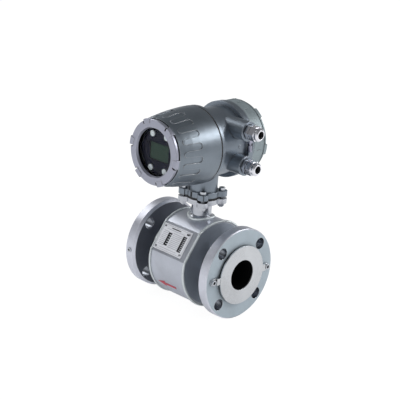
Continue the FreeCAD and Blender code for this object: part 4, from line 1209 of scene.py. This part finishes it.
# --- finishes ----------------------------------------------------------------------------------
def finish_list() -> list[Finish | WindowFinish]:
    """Every finish of the meter.

    Returns:
        The finishes, each under its own name.
    """
    turned = dict(metallic=1.0, grain=Grain.TURNED)
    casting = dict(metallic=0.92, roughness=0.37, centre=HEAD_CENTRE, scale=1300.0,
                   edge_radius=0.8 * MM)
    plated = dict(metallic=1.0, nook_shade=0.4, relief=0.01 * MM, edge_light=0.7,
                  edge_radius=0.5 * MM)
    joint_shade = dict(colour=shown(22, 24, 28), metallic=0.3)
    indoors = dict(edge_light=0.05, gloss_change=0.05, nook_shade=0.0)
    return [
        Finish("tube", shown(196, 198, 204), roughness=0.30, **turned),
        # The liner's near-black is painted shade: it makes the bore and the gap by the ground ring
        # read dark.
        Finish("liner", shown(9, 9, 10), roughness=0.8, specular=0.1, scale=600.0,
               edge_light=0.04),
        Finish("flange", shown(228, 230, 240), roughness=0.42, scale=1500.0, metallic=0.9,
               relief=0.04 * MM, edge_light=0.6, edge_radius=0.9 * MM, zones=(
                   FlangeFace(shown(190, 202, 210), metallic=0.35, rougher=0.2,
                              low=75.5 * MM),
                   # The backs of both flanges are darker: painted shade of the narrow gap between
                   # flange and jacket.
                   FlangeFace(shown(104, 108, 118), metallic=0.4, high=75.5 * MM),
                   BoltHoles(shown(150, 154, 162), metallic=0.95, rougher=-0.22))),
        Finish("ground_ring", shown(216, 218, 221), roughness=0.28, scale=1600.0, **turned),
        Finish("fastener", shown(205, 208, 214), metallic=1.0, roughness=0.16, scale=2500.0,
               edge_light=0.7, edge_radius=0.3 * MM),
        Finish("jacket", shown(206, 210, 220), metallic=0.88, roughness=0.36,
               grain=Grain.BRUSHED, scale=2600.0, relief=0.02 * MM, tone_change=0.05,
               edge_light=0.5),
        Finish("end_plate", shown(160, 169, 182), metallic=0.55, roughness=0.40, scale=1400.0),
        Finish("weld", shown(228, 234, 236), metallic=0.85, roughness=0.3, scale=1800.0,
               nook_shade=0.15),
        Finish("nameplate", shown(242, 243, 248), metallic=0.1, roughness=0.42,
               grain=Grain.BRUSHED, axis=Axis.Z, scale=2200.0, edge_light=0.6),
        Finish("arrow", shown(205, 62, 84), roughness=0.38, coat=0.2, edge_light=0.15),
        Finish("copper", shown(200, 118, 70), roughness=0.35, axis=Axis.Z, scale=2600.0,
               relief=0.1 * MM, **turned),
        Finish("iron", shown(112, 112, 116), metallic=0.9, roughness=0.5),
        Finish("electrode", shown(215, 215, 220), roughness=0.15, axis=Axis.Y, **turned),
        Finish("insulator", shown(228, 222, 208), roughness=0.5),
        Finish("rubber", shown(38, 38, 40), roughness=0.62, scale=1100.0, edge_light=0.08),
        Finish("neck", shown(200, 203, 210), roughness=0.24, axis=Axis.Z, scale=1300.0,
               edge_light=0.6, **turned),
        Finish("housing", shown(142, 151, 161), edge_light=0.5, **casting, zones=(
            Band(**joint_shade, low=-27.4 * MM, high=-26.4 * MM),)),
        Finish("front_cover", shown(140, 149, 158), edge_light=0.8, **casting, zones=(
            Band(shown(176, 178, 192), metallic=0.85, high=-111.2 * MM),
            Band(**joint_shade, low=-29.7 * MM, high=-28.0 * MM))),
        Finish("rear_cover", shown(158, 170, 174), metallic=0.55, roughness=0.5,
               centre=HEAD_CENTRE, scale=1300.0, edge_light=0.5, edge_radius=0.7 * MM),
        Finish("spigot", shown(176, 180, 182), metallic=0.95, roughness=0.3, axis=Axis.Y,
               centre=HEAD_CENTRE, grain=Grain.TURNED),
        Finish("lock", shown(170, 170, 186), metallic=1.0, roughness=0.3),
        WindowFinish("glass"),
        Finish("retainer", shown(36, 36, 40), metallic=0.2, roughness=0.4, edge_light=0.1),
        Finish("panel", shown(20, 22, 42), roughness=0.6, specular=0.08, scale=700.0,
               relief=0.006 * MM, **indoors),
        ScreenFinish("screen", shown(56, 76, 66), roughness=0.5, specular=0.1,
                     relief=0.004 * MM, **indoors),
        Finish("pale_screw", shown(250, 253, 255), roughness=0.3, grain=Grain.TURNED,
               axis=Axis.Y, edge_light=0.4, nook_shade=0.0),
        Finish("board", shown(36, 96, 66), roughness=0.42, coat=0.3),
        Finish("brass", shown(206, 178, 118), metallic=1.0, roughness=0.25),
        Finish("terminal", shown(48, 50, 54), roughness=0.45, edge_light=0.15),
        Finish("cable", shown(44, 44, 48), roughness=0.5, edge_light=0.08),
        Finish("gland_washer", shown(40, 40, 42), roughness=0.6, edge_light=0.08),
        Finish("nickel", shown(242, 242, 248), roughness=0.11, scale=1500.0, **plated),
        *(Finish(name, shown(242, 242, 248), roughness=0.12, grain=Grain.TURNED,
                 centre=centre, **plated)
          for name, centre in (("upper_nickel", UPPER_GLAND), ("lower_nickel", LOWER_GLAND))),
        Finish("ink", shown(20, 21, 28), roughness=0.35, edge_light=0.05),
        Finish("grey_ink", shown(150, 152, 162), metallic=0.3, roughness=0.4, edge_light=0.05),
    ]


FINISH_NODES: dict[str, str] = {
    "tube": "measuring_tube", "liner": "tube_liner", "flange": "inlet_flange outlet_flange",
    "ground_ring": "ground_ring_inlet ground_ring_outlet",
    "fastener": "ring_screws_inlet ring_screws_outlet earth_screw nameplate_rivets "
                "electrode_nuts neck_screws neck_nuts",
    "jacket": "coil_jacket", "end_plate": "jacket_end_inlet jacket_end_outlet",
    "weld": "weld_beads", "nameplate": "nameplate", "arrow": "flow_arrow",
    "copper": "coil_upper coil_lower", "iron": "pole_shoe_upper pole_shoe_lower coil_yoke",
    "electrode": "electrodes", "insulator": "electrode_seals", "neck": "neck_tube",
    "rubber": "neck_gasket window_gasket front_cover_seal rear_cover_seal "
              "gland_insert_upper gland_insert_lower",
    "housing": "transmitter_housing", "lock": "cover_lock_clamp cover_lock_screw",
    "front_cover": "front_cover", "rear_cover": "rear_cover", "glass": "window_glass",
    "retainer": "window_retainer", "panel": "display_panel", "screen": "lcd_module",
    "pale_screw": "panel_screws", "board": "display_board amplifier_board",
    "brass": "display_standoffs board_standoffs terminal_screws inner_earth_screw",
    "terminal": "terminal_block", "cable": "signal_harness", "gland_washer": "gland_washers",
    "upper_nickel": "gland_body_upper gland_nut_upper",
    "lower_nickel": "gland_body_lower gland_nut_lower"}


@dataclass
class CarriedNodes:
    """The CAD nodes, each given its finish and otherwise left as it is."""

    nodes: dict[str, bpy.types.Object]
    finishes: dict[str, bpy.types.Material]

    def build(self) -> None:
        """Dress every node."""
        finish_of = {node: finish for finish, names in FINISH_NODES.items()
                     for node in names.split()}
        for name, node in self.nodes.items():
            wear(node, self.finishes[finish_of[name]])
            LOG.info("%s wears %s", name, finish_of[name])


# --- studio --------------------------------------------------------------------------------------
@dataclass(frozen=True)
class SoftBox:
    """A soft lamp: the way it lies from the object, how far, its size and its watts."""

    name: str
    toward: Triple
    distance: float
    width: float
    height: float
    watts: float

    def hang(self, target: Vector) -> None:
        """Hang the lamp so that it faces a point.

        Args:
            target: The point.
        """
        data = bpy.data.lights.new(self.name, "AREA")
        data.shape, data.size, data.size_y = "RECTANGLE", self.width, self.height
        data.energy = self.watts
        lamp = bpy.data.objects.new(self.name, data)
        bpy.context.scene.collection.objects.link(lamp)
        way = Vector(self.toward).normalized()
        lamp.matrix_world = (Matrix.Translation(target + way * self.distance)
                             @ way.to_track_quat("Z", "Y").to_matrix().to_4x4())


@dataclass
class Studio:
    """Pale floor, soft lamps, pale surroundings and the camera."""

    azimuth: float = math.radians(43.88)
    elevation: float = math.radians(17.57)
    roll: float = math.radians(-4.45)
    distance: float = 2.0107
    target: Vector = field(default_factory=lambda: Vector((0.0, 0.0, 0.130)))
    lens: float = 112.7
    shift: tuple[float, float] = (-0.0095, -0.049)
    plain_strength: float = 0.58
    mirrored_levels: tuple[tuple[float, float], ...] = (
        (0.0, 0.60), (0.14, 0.58), (0.32, 0.30), (0.5, 0.14), (0.62, 0.24), (0.8, 0.16),
        (1.0, 0.14))
    floor_white: float = 0.92
    floor_radius: float = 4.0
    floor_gap: float = 0.2 * MM
    floor_glow: float = 1.14
    glow_seen: float = 0.82
    glow_mirrored: float = 0.18
    lamps: tuple[SoftBox, ...] = (
        SoftBox("right_back_softbox", (0.61, 0.60, 0.52), 1.8, 0.85, 0.5, 9.0),
        SoftBox("left_softbox", (-0.78, -0.10, 0.62), 1.8, 1.0, 0.6, 5.2),
        SoftBox("front_fill", (0.0, -0.95, 0.25), 2.4, 1.2, 1.2, 6.5))

    def camera(self) -> None:
        """Stand the camera in front of the display, to its right and above."""
        data = bpy.data.cameras.new("camera")
        data.lens, data.sensor_width, data.sensor_fit = self.lens, 36.0, "HORIZONTAL"
        data.shift_x, data.shift_y = self.shift
        data.clip_start, data.clip_end = 0.05, 60.0
        turn, rise, lean = self.azimuth, self.elevation, self.roll
        back = Vector((math.sin(turn) * math.cos(rise), -math.cos(turn) * math.cos(rise),
                       math.sin(rise)))
        right = Vector((math.cos(turn), math.sin(turn), 0))
        up = back.cross(right)
        leaned_right = math.cos(lean) * right - math.sin(lean) * up
        leaned_up = math.sin(lean) * right + math.cos(lean) * up
        axes = Matrix((leaned_right, leaned_up, back)).transposed().to_4x4()
        camera = bpy.data.objects.new("camera", data)
        bpy.context.scene.collection.objects.link(camera)
        camera.matrix_world = Matrix.Translation(self.target + back * self.distance) @ axes
        bpy.context.scene.camera = camera

    def surroundings(self) -> None:
        """Surroundings that are white to the eye, and paler low down than overhead to metal."""
        world = bpy.data.worlds.new("surroundings")
        bpy.context.scene.world = world
        world.use_nodes = True
        bench = Bench(world.node_tree)
        world.node_tree.nodes.clear()
        path = bench.add("ShaderNodeLightPath").outputs
        sky = bench.parts_of(bench.add("ShaderNodeTexCoord").outputs["Generated"])[2]
        ramp = bench.add("ShaderNodeValToRGB")
        bench.link(bench.spread(sky, (-0.1, 1.0)), ramp.inputs[0])
        while len(ramp.color_ramp.elements) < len(self.mirrored_levels):
            ramp.color_ramp.elements.new(0.5)
        for element, (at, level) in zip(ramp.color_ramp.elements, self.mirrored_levels):
            element.position = at
            element.color = (level * 0.98, level, level * 1.03, 1)
        plain, mirrored, white = (
            bench.feed(bench.add("ShaderNodeBackground"), Color=colour, Strength=strength)
            for colour, strength in (((0.95, 0.97, 1.0), self.plain_strength),
                                     (ramp.outputs[0], 1.0), ((1.0, 1.0, 1.0), 1.0)))
        gloss = bench.mixed(path["Is Glossy Ray"], plain, mirrored)
        seen = bench.mixed(path["Is Camera Ray"], gloss, white)
        bench.feed(bench.add("ShaderNodeOutputWorld"), Surface=seen.outputs[0])

    def floor(self) -> None:
        """Lay a wide pale floor just under the flanges."""
        clear_selection()
        bpy.ops.mesh.primitive_circle_add(
            vertices=96, radius=self.floor_radius, fill_type="NGON",
            location=(0, 0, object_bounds()[0][2] - self.floor_gap))
        ground = bpy.context.object
        ground.name = "studio_floor"
        settle(ground)
        material, bench, shader = new_material("studio_floor")
        bench.feed(shader, Base_Color=[self.floor_white] * 3, Roughness=0.9)
        glow = bench.feed(bench.add("ShaderNodeEmission"), Strength=self.floor_glow)
        path = bench.add("ShaderNodeLightPath").outputs
        seen = bench.math("MAXIMUM", path["Is Camera Ray"], path["Is Transmission Ray"])
        share = bench.math("ADD", bench.math("MULTIPLY", seen, self.glow_seen),
                           bench.math("MULTIPLY", path["Is Glossy Ray"], self.glow_mirrored),
                           True)
        bench.feed(material.node_tree.nodes["Material Output"],
                   Surface=bench.mixed(share, shader, glow).outputs[0])
        wear(ground, material)
        ground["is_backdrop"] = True

    def build(self) -> None:
        """Set up the whole studio."""
        self.camera()
        self.surroundings()
        self.floor()
        for lamp in self.lamps:
            lamp.hang(self.target)
        bpy.context.scene.view_settings.view_transform = "Standard"


def main() -> None:
    """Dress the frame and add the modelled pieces."""
    logging.basicConfig(level=logging.INFO, format="%(name)s: %(message)s")
    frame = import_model()
    Studio().build()
    effects = Effects()
    finishes = {finish.name: finish.material(effects) for finish in finish_list()}
    CarriedNodes(frame["nodes"], finishes).build()
    WeldSeams(finishes).build()
    PlatePrint(finishes).build()
    Threads(finishes).build()


if __name__ == "__main__":
    main()
